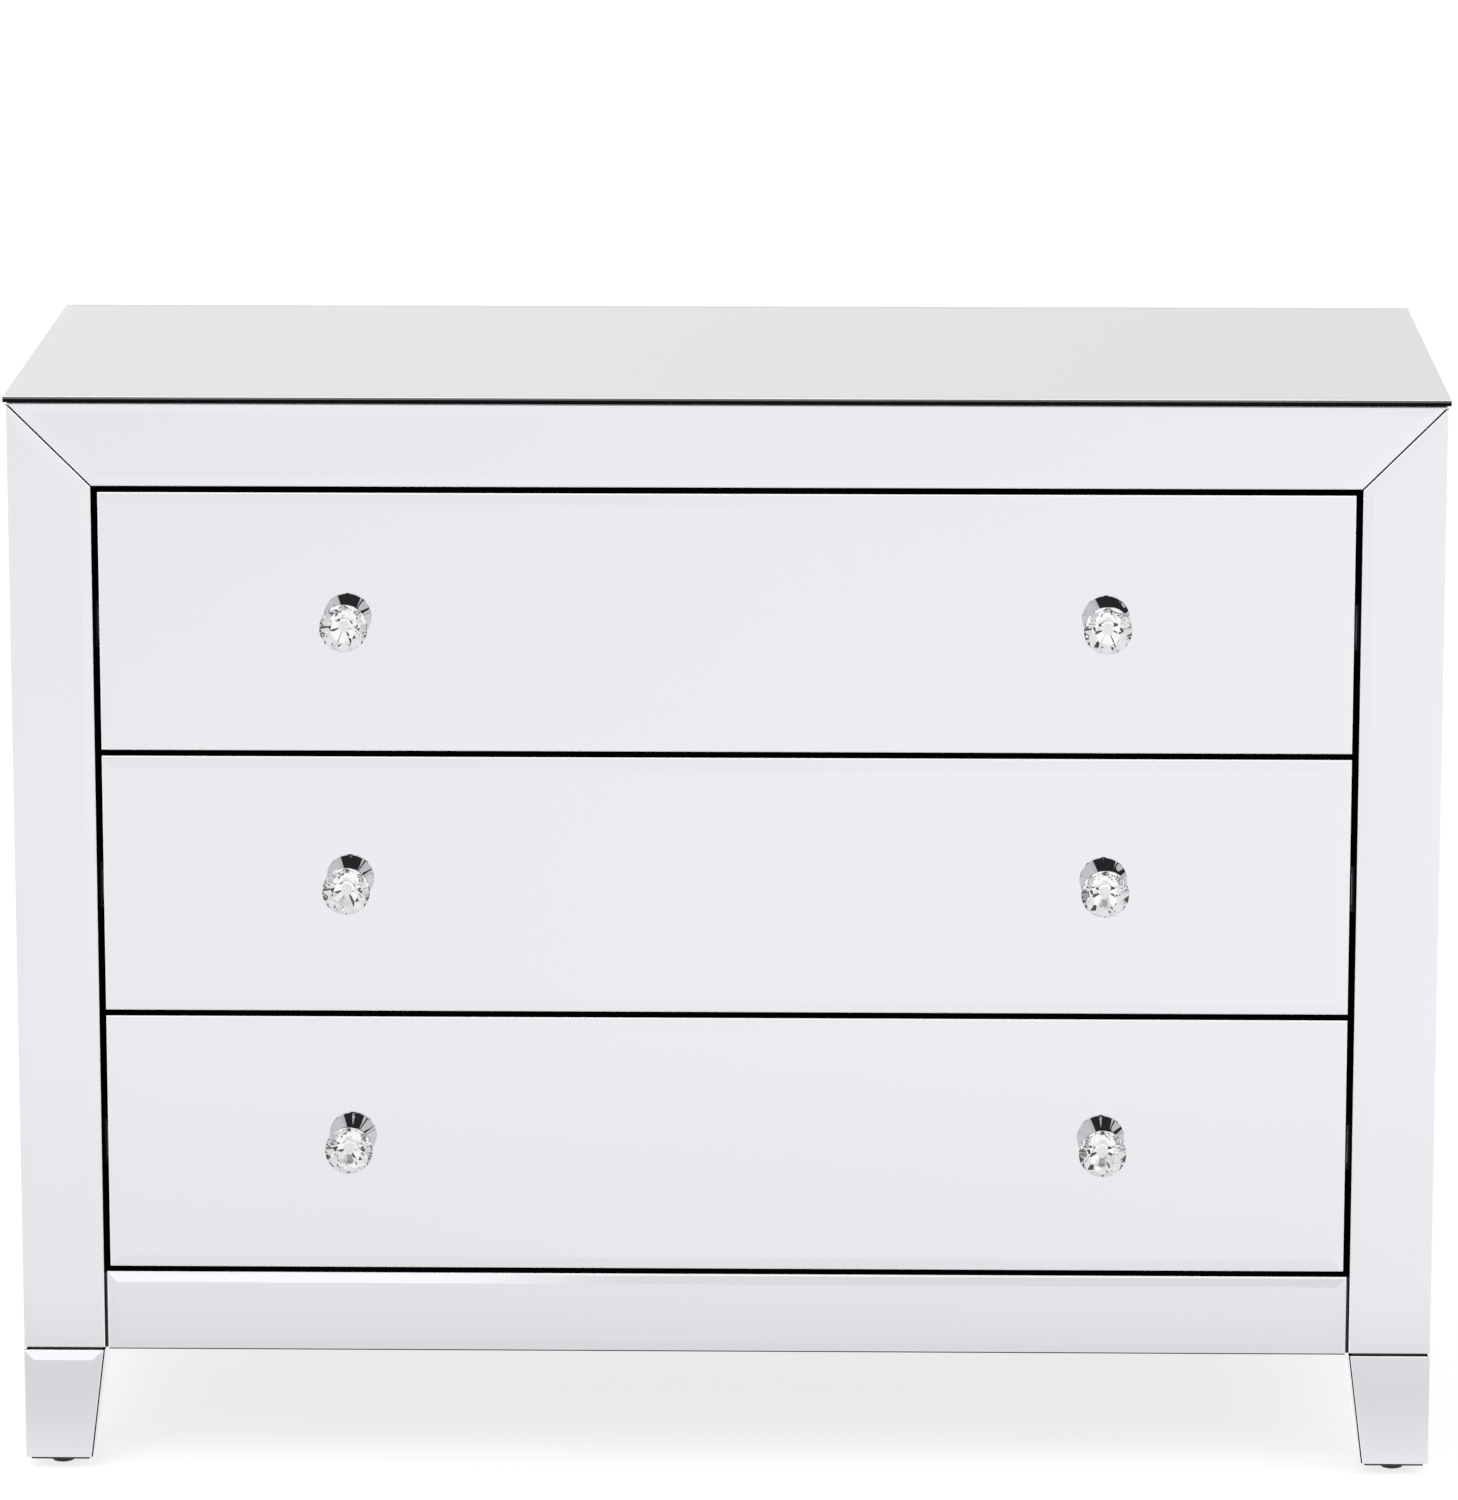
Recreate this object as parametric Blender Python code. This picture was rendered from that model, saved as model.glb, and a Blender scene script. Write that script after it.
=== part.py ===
# Mirrored chest of three drawers on tapered feet, with crystal knobs.
# It stands on its glides at z = 0. X runs across it, -Y is its front and +Y its back.
# Y = 0 lies midway between the faces of the crystals and the back board. Lengths are in metres.

import math

import bmesh
import bpy

# Case
WIDTH = 1.050  # over the side mirrors
DEPTH = 0.450  # front mirrors to the back of the back board
HEIGHT = 0.815  # floor to the top mirror's face
FRAME_WIDTH = 0.061  # face of the stiles and of the top rail
BOTTOM_RAIL_WIDTH = 0.060  # face of the bottom rail
BOTTOM_RAIL_DROP = 0.0007  # bottom rail's mirror below the case's underside
REVEAL = 0.0046  # dark line above and below each drawer's mirror
SIDE_REVEAL = 0.0052  # and at its ends
SUB_TOP = 0.020  # board under the top mirror
RAIL_BOARD = 0.020  # boards behind the top and bottom rails' mirrors
BOTTOM_BOARD = 0.016
BACK_BOARD = 0.005
BOARD_ARRIS = 0.0005  # sanded edge of every board
BOARD_SETBACK = 0.0005  # boards stop this far inside the mirrors that they carry
BOND_GAP = 0.0003  # glue line, or the space between pieces that touch

# Mirrors
TOP_GLASS = 0.005
TOP_OVERHANG = 0.0015  # top mirror beyond the front and the sides
TOP_SEAM = 0.001  # top mirror's underside to the front and side mirrors
TOP_BEVEL_WIDTH = 0.010
TOP_BEVEL_DEPTH = 0.0006
CLAD_GLASS = 0.004  # every mirror but the top
BEVEL_WIDTH = 0.0075
BEVEL_DEPTH = 0.0012
DRAWER_BEVEL_WIDTH = 0.0085
DRAWER_BEVEL_DEPTH = 0.0006
MITRE_SEAM = 0.0012  # between the top rail's mirror and each stile's, across the mitre
RAIL_SEAM = 0.0025  # between the bottom rail's mirror and each stile's
CASE_LIP = 0.0005  # case's underside to the stiles' and sides' mirrors

# Feet
FOOT_HEIGHT = 0.0942  # floor to the top of the neck
FOOT_NECK = 0.0014  # recessed neck, which shows as a black seam
FOOT_NECK_INSET = 0.004
FOOT_EDGE = 0.0020  # black edge of the foot's core beyond the stile's inner edge
FOOT_TAPER = 0.0105  # inner faces' lean over the foot's height
FOOT_PLATE = 0.0020  # thickness of the base plate
FOOT_PLATE_INSET = 0.0040
GLIDE_DIAMETER = 0.019
GLIDE_HEIGHT = 0.0072  # floor to the base plate
GLIDE_SEAT = 0.0010  # glide let into the base plate

# Drawers
DRAWERS = ("lower", "middle", "upper")
FRONT_BOARD = 0.016
BOX_SIDE = 0.012  # drawer sides and back
BOX_RISE = 0.015  # front's lower edge to the sides' lower edge
BOX_HEADROOM = 0.027  # sides' upper edge to the front's upper edge
BOX_REAR_SPACE = 0.0241  # drawer sides' rear ends to the back board
BASE_PANEL = 0.005
BASE_RISE = 0.010  # base panel above the sides' lower edge
GROOVE_DEPTH = 0.006  # for the base panel, in the sides and the front

# Ball-bearing slides, one pair for each drawer
SLIDE_HEIGHT = 0.035
SLIDE_THICKNESS = 0.0125  # case side to drawer side
SLIDE_STEEL = 0.0012
SLIDE_BALL = 0.003  # diameter
SLIDE_CLEARANCE = 0.0008  # between the two members
SLIDE_SETBACK = 0.003  # drawer front's board to the slide's front end
SLIDE_REAR_SPACE = 0.0211  # slide's rear end to the back board

# Knobs, measured out from the drawer's mirror
KNOB_INSET = 0.1804  # knob's axis to the mirror's side edge
KNOB_FOOT_DIAMETER = 0.014
KNOB_FOOT_HEIGHT = 0.0025
KNOB_NECK_DIAMETER = 0.010
KNOB_NECK_HEIGHT = 0.0055  # where the cone begins
CUP_DIAMETER = 0.0350
CUP_HEIGHT = 0.0210  # rim of the cone
CUP_WALL = 0.0014  # across the cone, at the rim
CUP_SEGMENTS = 32
SCREW_DIAMETER = 0.004
SCREW_HEAD_DIAMETER = 0.0084
SCREW_HEAD_HEIGHT = 0.0025
SCREW_CLEARANCE = 0.0005  # round the screw, in the mirror and the board
CRYSTAL_DIAMETER = 0.0350
CRYSTAL_GIRDLE = 0.0010  # thickness of its edge
CRYSTAL_CROWN = 0.0055  # edge to table
CRYSTAL_TABLE_DIAMETER = 0.0190
CRYSTAL_STAR_DIAMETER = 0.0272  # points where three crown facets meet
CRYSTAL_WAIST_DIAMETER = 0.0235  # points halfway down, where the lower facets meet
CRYSTAL_FACETS = 8
CUT_OVERRUN = 0.002  # cutters beyond the faces that they cut
MERGE_DISTANCE = 0.00001

# Colour, roughness and metallic value of each finish
FINISHES = {
    "mirror": ((0.80, 0.80, 0.84), 0.03, 1.0),
    "black_paint": ((0.012, 0.012, 0.014), 0.42, 0.0),
    "drawer_board": ((0.075, 0.073, 0.078), 0.55, 0.0),
    "zinc_steel": ((0.56, 0.57, 0.58), 0.34, 1.0),
    "chrome": ((0.72, 0.72, 0.75), 0.07, 1.0),
    "crystal": ((0.93, 0.95, 0.98), 0.02, 0.0),
}

# The knob's axial sizes, from the mirror's face outwards
cup_slope = (CUP_DIAMETER - KNOB_NECK_DIAMETER) / 2 / (CUP_HEIGHT - KNOB_NECK_HEIGHT)
bowl_radius = CUP_DIAMETER / 2 - CUP_WALL
crystal_gap = BOND_GAP * math.hypot(1, cup_slope)
girdle_height = CUP_HEIGHT + (CRYSTAL_DIAMETER / 2 - bowl_radius + crystal_gap) / cup_slope
waist_height = girdle_height - (CRYSTAL_DIAMETER - CRYSTAL_WAIST_DIAMETER) / 2 / cup_slope
culet_height = 2 * waist_height - girdle_height
cup_floor = culet_height - BOND_GAP
knob_projection = girdle_height + CRYSTAL_GIRDLE + CRYSTAL_CROWN

# The crystal's eight main facets are flat from the edge to the table, and from the edge to the culet
facet_share = math.cos(math.pi / CRYSTAL_FACETS)
crown_slope = 2 * CRYSTAL_CROWN / (CRYSTAL_DIAMETER - CRYSTAL_TABLE_DIAMETER)
star_drop = (CRYSTAL_STAR_DIAMETER * facet_share - CRYSTAL_TABLE_DIAMETER) / 2 * crown_slope
culet_diameter = 2 * CRYSTAL_WAIST_DIAMETER - CRYSTAL_DIAMETER / facet_share

# Across: the case's planes, for the right half
x_outer = WIDTH / 2
x_side_outer = x_outer - CLAD_GLASS - BOND_GAP
x_inner = x_outer - FRAME_WIDTH
x_between = x_inner - BOND_GAP  # pieces that fit between the sides
x_drawer_mirror = x_inner - SIDE_REVEAL
x_box = x_between - SLIDE_THICKNESS - BOND_GAP  # drawer sides' outer faces

# Front to back
y_front = -(DEPTH - knob_projection) / 2
y_board = y_front + CLAD_GLASS + BOND_GAP  # front of the boards behind the mirrors
y_back = y_front + DEPTH
y_back_board = y_back - BACK_BOARD

# Upwards
foot_top_width = FRAME_WIDTH + FOOT_EDGE
foot_bottom_width = foot_top_width - FOOT_TAPER
z_case = FOOT_HEIGHT + BOND_GAP
z_strip_bottom = z_case + CASE_LIP
z_strip_top = HEIGHT - TOP_GLASS - TOP_SEAM
z_sub_top = HEIGHT - TOP_GLASS - BOND_GAP
z_under_sub_top = z_sub_top - SUB_TOP - BOND_GAP
z_bottom_rail = z_case - BOTTOM_RAIL_DROP
z_opening_bottom = z_bottom_rail + BOTTOM_RAIL_WIDTH
z_opening_top = z_strip_top - FRAME_WIDTH
drawer_height = (z_opening_top - z_opening_bottom - REVEAL) / len(DRAWERS) - REVEAL

# Behind each drawer's mirror, measured back from its face
front_stack = CLAD_GLASS + BOND_GAP + FRONT_BOARD
box_front = front_stack + BOND_GAP
box_back = DEPTH - BACK_BOARD - BOX_REAR_SPACE
slide_front = front_stack + SLIDE_SETBACK
slide_length = DEPTH - BACK_BOARD - SLIDE_REAR_SPACE - slide_front
box_bottom = -drawer_height / 2 + BOX_RISE
box_top = drawer_height / 2 - BOX_HEADROOM
knob_x = x_drawer_mirror - KNOB_INSET

# Turns that bring a pane's face, modelled facing +Z, to the front and to either side
FACING_FRONT = (math.pi / 2, 0.0, 0.0)
FACING_SIDE = {1: (math.pi / 2, 0.0, math.pi / 2), -1: (math.pi / 2, 0.0, -math.pi / 2)}
SIDES = {"left": -1, "right": 1}


def finish_material(name, finish):
    colour, roughness, metallic = FINISHES[finish]
    material = bpy.data.materials.new(name)
    material.use_nodes = True
    shader = material.node_tree.nodes["Principled BSDF"]
    shader.inputs["Base Color"].default_value = (*colour, 1.0)
    shader.inputs["Roughness"].default_value = roughness
    shader.inputs["Metallic"].default_value = metallic
    if finish == "crystal":
        shader.inputs["Transmission Weight"].default_value = 1.0
    return material


def add_object(name, bm, finishes, location=(0.0, 0.0, 0.0), rotation=(0.0, 0.0, 0.0), parent=None):
    """Make the named object from bm, with one material for each finish, and place it."""
    bmesh.ops.recalc_face_normals(bm, faces=bm.faces)
    mesh = bpy.data.meshes.new(name)
    bm.to_mesh(mesh)
    bm.free()
    for finish in finishes:
        mesh.materials.append(finish_material(f"{name}_{finish}", finish))
    piece = bpy.data.objects.new(name, mesh)
    bpy.context.scene.collection.objects.link(piece)
    piece.location = location
    piece.rotation_euler = rotation
    piece.parent = parent
    return piece


def as_cutter(piece):
    piece.hide_render = True
    piece.display_type = "WIRE"
    return piece


def combine(piece, operation, other):
    modifier = piece.modifiers.new(operation.title(), "BOOLEAN")
    modifier.operation = operation
    modifier.solver = "EXACT"
    modifier.object = other


def slab(outline, thickness):
    """Prism on an outline in XY, raised along Z. Returns it with its upper face."""
    bm = bmesh.new()
    base = bm.faces.new([bm.verts.new((x, y, 0.0)) for x, y in outline])
    base.normal_update()
    if base.normal.z < 0:
        base.normal_flip()
    grown = bmesh.ops.extrude_face_region(bm, geom=[base])["geom"]
    lifted = [item for item in grown if isinstance(item, bmesh.types.BMVert)]
    bmesh.ops.translate(bm, vec=(0.0, 0.0, thickness), verts=lifted)
    bm.normal_update()
    upper = next(item for item in grown if isinstance(item, bmesh.types.BMFace))
    return bm, upper


def bevelled_pane(outline, thickness, bevel_width, bevel_depth):
    """Pane of glass with a wide, shallow bevel ground all round its face."""
    bm, face = slab(outline, thickness - bevel_depth)
    bmesh.ops.inset_region(
        bm, faces=[face], thickness=bevel_width, depth=bevel_depth, use_even_offset=True
    )
    return bm


def rectangle(half_width, low, high):
    return [(-half_width, low), (half_width, low), (half_width, high), (-half_width, high)]


def board(name, low, high, finish="black_paint", parent=None):
    """Flat board between two corners, with its edges eased."""
    size = [b - a for a, b in zip(low, high)]
    centre = [(a + b) / 2 for a, b in zip(low, high)]
    bm = bmesh.new()
    bmesh.ops.create_cube(bm, size=1)
    bmesh.ops.scale(bm, vec=size, verts=bm.verts)
    bmesh.ops.bevel(bm, geom=bm.edges, offset=BOARD_ARRIS, segments=1, affect="EDGES")
    return add_object(name, bm, [finish], location=centre, parent=parent)


def turned(profile, segments):
    """Solid of revolution about Z from (radius, height) points that run from axis to axis."""
    bm = bmesh.new()
    points = [bm.verts.new((radius, 0.0, height)) for radius, height in profile]
    edges = [bm.edges.new(pair) for pair in zip(points, points[1:])]
    bmesh.ops.spin(
        bm,
        geom=points + edges,
        cent=(0.0, 0.0, 0.0),
        axis=(0.0, 0.0, 1.0),
        angle=2 * math.pi,
        steps=segments,
    )
    bmesh.ops.remove_doubles(bm, verts=bm.verts, dist=MERGE_DISTANCE)
    return bm


def bent_sheet(path, thickness):
    """Outline of a bent strip of sheet metal: the path, and its offset to the right."""
    headings = []
    for (x0, y0), (x1, y1) in zip(path, path[1:]):
        length = math.hypot(x1 - x0, y1 - y0)
        headings.append(((y1 - y0) / length, (x0 - x1) / length))
    before = [headings[0], *headings]
    after = [*headings, headings[-1]]
    inner = []
    for (x, y), (ax, ay), (bx, by) in zip(path, before, after):
        reach = thickness / (1 + ax * bx + ay * by)
        inner.append((x + (ax + bx) * reach, y + (ay + by) * reach))
    return path + inner[::-1]


def case_mirrors():
    glass = (CLAD_GLASS, BEVEL_WIDTH, BEVEL_DEPTH)

    half_top = x_outer + TOP_OVERHANG
    outline = rectangle(half_top, y_front - TOP_OVERHANG, y_back)
    bm = bevelled_pane(outline, TOP_GLASS, TOP_BEVEL_WIDTH, TOP_BEVEL_DEPTH)
    add_object("top_mirror", bm, ["mirror"], location=(0.0, 0.0, HEIGHT - TOP_GLASS))

    # The mitre runs from the case's corner to the opening's, and the seam is shared evenly.
    seam_run = MITRE_SEAM / 2 * math.sqrt(2)
    front_plane = (0.0, y_front + CLAD_GLASS, 0.0)
    top_rail = [
        (-x_outer + seam_run, z_strip_top),
        (-x_inner + seam_run, z_opening_top),
        (x_inner - seam_run, z_opening_top),
        (x_outer - seam_run, z_strip_top),
    ]
    bm = bevelled_pane(top_rail, *glass)
    add_object("top_rail_mirror", bm, ["mirror"], location=front_plane, rotation=FACING_FRONT)

    bottom_rail = rectangle(x_inner - RAIL_SEAM, z_bottom_rail, z_opening_bottom)
    bm = bevelled_pane(bottom_rail, *glass)
    add_object("bottom_rail_mirror", bm, ["mirror"], location=front_plane, rotation=FACING_FRONT)

    for side, sign in SIDES.items():
        stile = [
            (sign * x_outer, z_strip_bottom),
            (sign * x_inner, z_strip_bottom),
            (sign * x_inner, z_opening_top - seam_run),
            (sign * x_outer, z_strip_top - seam_run),
        ]
        bm = bevelled_pane(stile, *glass)
        name = f"stile_mirror_{side}"
        add_object(name, bm, ["mirror"], location=front_plane, rotation=FACING_FRONT)

        half_depth = (y_back - y_board) / 2
        bm = bevelled_pane(rectangle(half_depth, z_strip_bottom, z_strip_top), *glass)
        place = (sign * (x_outer - CLAD_GLASS), (y_back + y_board) / 2, 0.0)
        name = f"side_mirror_{side}"
        add_object(name, bm, ["mirror"], location=place, rotation=FACING_SIDE[sign])


def case_boards():
    board("sub_top", (-x_side_outer, y_board, z_sub_top - SUB_TOP), (x_side_outer, y_back, z_sub_top))
    for side, sign in SIDES.items():
        near, far = sorted((sign * x_inner, sign * x_side_outer))
        board(f"side_{side}", (near, y_board, z_case), (far, y_back, z_under_sub_top))

    y_rail_back = y_board + RAIL_BOARD
    z_top_rail = z_opening_top + BOARD_SETBACK
    z_bottom_rail_board = z_opening_bottom - BOARD_SETBACK
    board(
        "top_rail",
        (-x_between, y_board, z_top_rail),
        (x_between, y_rail_back, z_under_sub_top),
    )
    board(
        "bottom_rail",
        (-x_between, y_board, z_case),
        (x_between, y_rail_back, z_bottom_rail_board),
    )
    board(
        "bottom_board",
        (-x_between, y_rail_back + BOND_GAP, z_case),
        (x_between, y_back_board - BOND_GAP, z_case + BOTTOM_BOARD),
    )
    board(
        "back_board",
        (-x_between, y_back_board, z_case),
        (x_between, y_back, z_under_sub_top),
    )


def foot(name, side_sign, end_sign):
    """Foot in the corner at x = side_sign * x_outer. Its inner faces taper, its outer ones don't.

    Its origin is that corner, on the floor. The face towards the chest's back is painted, and
    the other three are mirrors, whose bevels rise from the foot's block.
    """
    block_bottom = GLIDE_HEIGHT + FOOT_PLATE
    block_top = FOOT_HEIGHT - FOOT_NECK
    near = BEVEL_DEPTH
    far = foot_bottom_width - BEVEL_DEPTH
    corners = [(near, near), (far, near), (far, far), (near, far)]
    outline = [(-side_sign * x, -end_sign * y) for x, y in corners]
    bm, crown = slab(outline, block_top - block_bottom)
    for corner in crown.verts:
        if abs(corner.co.x) > near + MERGE_DISTANCE:
            corner.co.x -= side_sign * FOOT_TAPER
        if abs(corner.co.y) > near + MERGE_DISTANCE:
            corner.co.y -= end_sign * FOOT_TAPER
    bmesh.ops.recalc_face_normals(bm, faces=bm.faces)
    bm.normal_update()

    upper = max(bm.faces, key=lambda face: face.calc_center_median().z)
    lower = min(bm.faces, key=lambda face: face.calc_center_median().z)
    rear = max(bm.faces, key=lambda face: face.normal.y)
    for face in (upper, lower, rear):
        face.material_index = 1
    panes = [face for face in bm.faces if face not in (upper, lower, rear)]
    for inset, rise, face in (
        (FOOT_NECK_INSET, FOOT_NECK, upper),
        (FOOT_PLATE_INSET, FOOT_PLATE, lower),
    ):
        bmesh.ops.inset_region(bm, faces=[face], thickness=inset, use_even_offset=True)
        grown = bmesh.ops.extrude_face_region(bm, geom=[face])["geom"]
        moved = [item for item in grown if isinstance(item, bmesh.types.BMVert)]
        step = rise if face is upper else -rise
        bmesh.ops.translate(bm, vec=(0.0, 0.0, step), verts=moved)
        bmesh.ops.delete(bm, geom=[face], context="FACES_ONLY")
    ground = bmesh.ops.inset_individual(
        bm, faces=panes, thickness=BEVEL_WIDTH, depth=BEVEL_DEPTH, use_even_offset=True
    )
    for face in (*panes, *ground["faces"]):
        face.material_index = 0

    place = (side_sign * x_outer, y_front if end_sign < 0 else y_back, block_bottom)
    piece = add_object(name, bm, ["mirror", "black_paint"], location=place)

    glide = bmesh.new()
    bmesh.ops.create_cone(
        glide,
        cap_ends=True,
        segments=CUP_SEGMENTS,
        radius1=GLIDE_DIAMETER / 2,
        radius2=GLIDE_DIAMETER / 2,
        depth=GLIDE_HEIGHT + GLIDE_SEAT,
    )
    for face in glide.faces:
        face.material_index = 1
    middle = foot_bottom_width / 2
    centre = (-side_sign * middle, -end_sign * middle, (GLIDE_SEAT - GLIDE_HEIGHT) / 2 - FOOT_PLATE)
    disc = add_object(
        f"{name}_glide_form", glide, ["mirror", "black_paint"], location=centre, parent=piece
    )
    combine(piece, "UNION", as_cutter(disc))


def feet():
    for side, side_sign in SIDES.items():
        foot(f"foot_front_{side}", side_sign, -1)
        foot(f"foot_rear_{side}", side_sign, 1)


def fixed_slide_path():
    """Section of the case's slide member: distance from the case side, then height."""
    lip = 2 * SLIDE_STEEL + SLIDE_CLEARANCE + SLIDE_BALL + SLIDE_CLEARANCE + SLIDE_STEEL
    flange = SLIDE_HEIGHT / 2
    tip = flange - SLIDE_STEEL - SLIDE_BALL - BOND_GAP + SLIDE_CLEARANCE
    return [(lip, -tip), (lip, -flange), (0.0, -flange), (0.0, flange), (lip, flange), (lip, tip)]


def moving_slide_path():
    """Section of the drawer's slide member, which runs inside the case's."""
    curl = 2 * SLIDE_STEEL + SLIDE_CLEARANCE
    flange = SLIDE_HEIGHT / 2 - SLIDE_STEEL - SLIDE_BALL - BOND_GAP
    tip = SLIDE_HEIGHT / 2 - SLIDE_STEEL - SLIDE_CLEARANCE
    web = SLIDE_THICKNESS
    return [(curl, tip), (curl, flange), (web, flange), (web, -flange), (curl, -flange), (curl, -tip)]


def slide_member(name, path, sign, place, parent=None):
    outline = [(-sign * out, height) for out, height in bent_sheet(path, SLIDE_STEEL)]
    bm, _ = slab(outline, slide_length)
    add_object(name, bm, ["zinc_steel"], location=place, rotation=FACING_FRONT, parent=parent)


def knob_profile():
    """Foot, neck and cone cup, with the fixing screw that holds them to the drawer."""
    screw = SCREW_DIAMETER / 2
    head = SCREW_HEAD_DIAMETER / 2
    head_front = -front_stack - BOND_GAP
    base = KNOB_FOOT_DIAMETER / 2
    round_over = KNOB_FOOT_HEIGHT / 4
    neck = KNOB_NECK_DIAMETER / 2
    rim = CUP_DIAMETER / 2
    floor = bowl_radius - cup_slope * (CUP_HEIGHT - cup_floor)
    return [
        (0.0, head_front - SCREW_HEAD_HEIGHT),
        (head * 3 / 4, head_front - SCREW_HEAD_HEIGHT),
        (head, head_front - SCREW_HEAD_HEIGHT / 2),
        (head, head_front),
        (screw, head_front),
        (screw, BOND_GAP),
        (base, BOND_GAP),
        (base, KNOB_FOOT_HEIGHT - round_over),
        (base - round_over, KNOB_FOOT_HEIGHT),
        (neck, KNOB_FOOT_HEIGHT + round_over),
        (neck, KNOB_NECK_HEIGHT),
        (rim - CUP_WALL / 4, CUP_HEIGHT - CUP_WALL / 4),
        (rim, CUP_HEIGHT),
        (bowl_radius, CUP_HEIGHT),
        (floor, cup_floor),
        (0.0, cup_floor),
    ]


def ring(diameter, height, count, turn=0.0):
    """Points evenly round the knob's axis, the first one turned by a share of a step."""
    steps = [2 * math.pi * (index + turn) / count for index in range(count)]
    return [(diameter / 2 * math.cos(a), diameter / 2 * math.sin(a), height) for a in steps]


def brilliant():
    """Brilliant-cut crystal, whose lower facets stand inside the cup's cone."""
    girdle_top = girdle_height + CRYSTAL_GIRDLE
    table = girdle_top + CRYSTAL_CROWN
    points = [
        *ring(CRYSTAL_TABLE_DIAMETER, table, CRYSTAL_FACETS),
        *ring(CRYSTAL_STAR_DIAMETER, table - star_drop, CRYSTAL_FACETS, turn=1 / 2),
        *ring(CRYSTAL_DIAMETER, girdle_top, 2 * CRYSTAL_FACETS),
        *ring(CRYSTAL_DIAMETER, girdle_height, 2 * CRYSTAL_FACETS),
        *ring(CRYSTAL_WAIST_DIAMETER, waist_height, CRYSTAL_FACETS, turn=1 / 2),
        *ring(culet_diameter, culet_height, CRYSTAL_FACETS, turn=1 / 2),
    ]
    bm = bmesh.new()
    for point in points:
        bm.verts.new(point)
    hull = bmesh.ops.convex_hull(bm, input=bm.verts)
    bmesh.ops.delete(bm, geom=hull["geom_interior"] + hull["geom_unused"], context="VERTS")
    bmesh.ops.dissolve_limit(
        bm, angle_limit=math.radians(0.5), verts=bm.verts, edges=bm.edges
    )
    return bm


def knob(row, side, sign, parent):
    place = (sign * knob_x, 0.0, 0.0)
    bm = turned(knob_profile(), CUP_SEGMENTS)
    cup = add_object(
        f"knob_cup_{row}_{side}", bm, ["chrome"], location=place, rotation=FACING_FRONT, parent=parent
    )
    cup.data.shade_smooth()
    cup.data.set_sharp_from_angle(angle=math.radians(35))
    add_object(
        f"knob_crystal_{row}_{side}",
        brilliant(),
        ["crystal"],
        location=place,
        rotation=FACING_FRONT,
        parent=parent,
    )


def drawer_cutter(row, parent):
    """Holes for the knobs' screws, and the groove for the base panel in the front's board."""
    bm = bmesh.new()
    hole_depth = front_stack + 2 * CUT_OVERRUN
    for sign in SIDES.values():
        hole = bmesh.ops.create_cone(
            bm,
            cap_ends=True,
            segments=CUP_SEGMENTS,
            radius1=SCREW_DIAMETER / 2 + SCREW_CLEARANCE,
            radius2=SCREW_DIAMETER / 2 + SCREW_CLEARANCE,
            depth=hole_depth,
        )
        bmesh.ops.translate(
            bm, vec=(sign * knob_x, 0.0, -front_stack / 2), verts=hole["verts"]
        )
    groove = bmesh.ops.create_cube(bm, size=1)
    reach = GROOVE_DEPTH + CUT_OVERRUN
    size = (2 * (x_box - BOX_SIDE + GROOVE_DEPTH), BASE_PANEL + 2 * BOND_GAP, reach)
    bmesh.ops.scale(bm, vec=size, verts=groove["verts"])
    base_middle = box_bottom + BASE_RISE + BASE_PANEL / 2
    bmesh.ops.translate(
        bm,
        vec=(0.0, base_middle, -front_stack + GROOVE_DEPTH - reach / 2),
        verts=groove["verts"],
    )
    cutter = add_object(
        f"drawer_{row}_cutter", bm, ["black_paint"], rotation=FACING_FRONT, parent=parent
    )
    return as_cutter(cutter)


def drawer_box(row, parent):
    """Grooved sides, with the back between them and the base panel held in the grooves."""
    base_low = box_bottom + BASE_RISE
    base_high = base_low + BASE_PANEL
    x_inside = x_box - BOX_SIDE
    x_groove = x_inside + GROOVE_DEPTH
    profile = [
        (x_inside, box_bottom),
        (x_box, box_bottom),
        (x_box, box_top),
        (x_inside, box_top),
        (x_inside, base_high + BOND_GAP),
        (x_groove, base_high + BOND_GAP),
        (x_groove, base_low - BOND_GAP),
        (x_inside, base_low - BOND_GAP),
    ]
    for side, sign in SIDES.items():
        bm, _ = slab([(sign * (x - x_box), z) for x, z in profile], box_back - box_front)
        add_object(
            f"drawer_{row}_side_{side}",
            bm,
            ["drawer_board"],
            location=(sign * x_box, box_back, 0.0),
            rotation=FACING_FRONT,
            parent=parent,
        )
    x_back = x_inside - BOND_GAP
    board(
        f"drawer_{row}_back",
        (-x_back, box_back - BOX_SIDE, base_high + BOND_GAP),
        (x_back, box_back, box_top),
        finish="drawer_board",
        parent=parent,
    )
    x_base = x_groove - BOND_GAP
    board(
        f"drawer_{row}_base",
        (-x_base, front_stack - GROOVE_DEPTH + BOND_GAP, base_low),
        (x_base, box_back, base_high),
        finish="drawer_board",
        parent=parent,
    )


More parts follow.
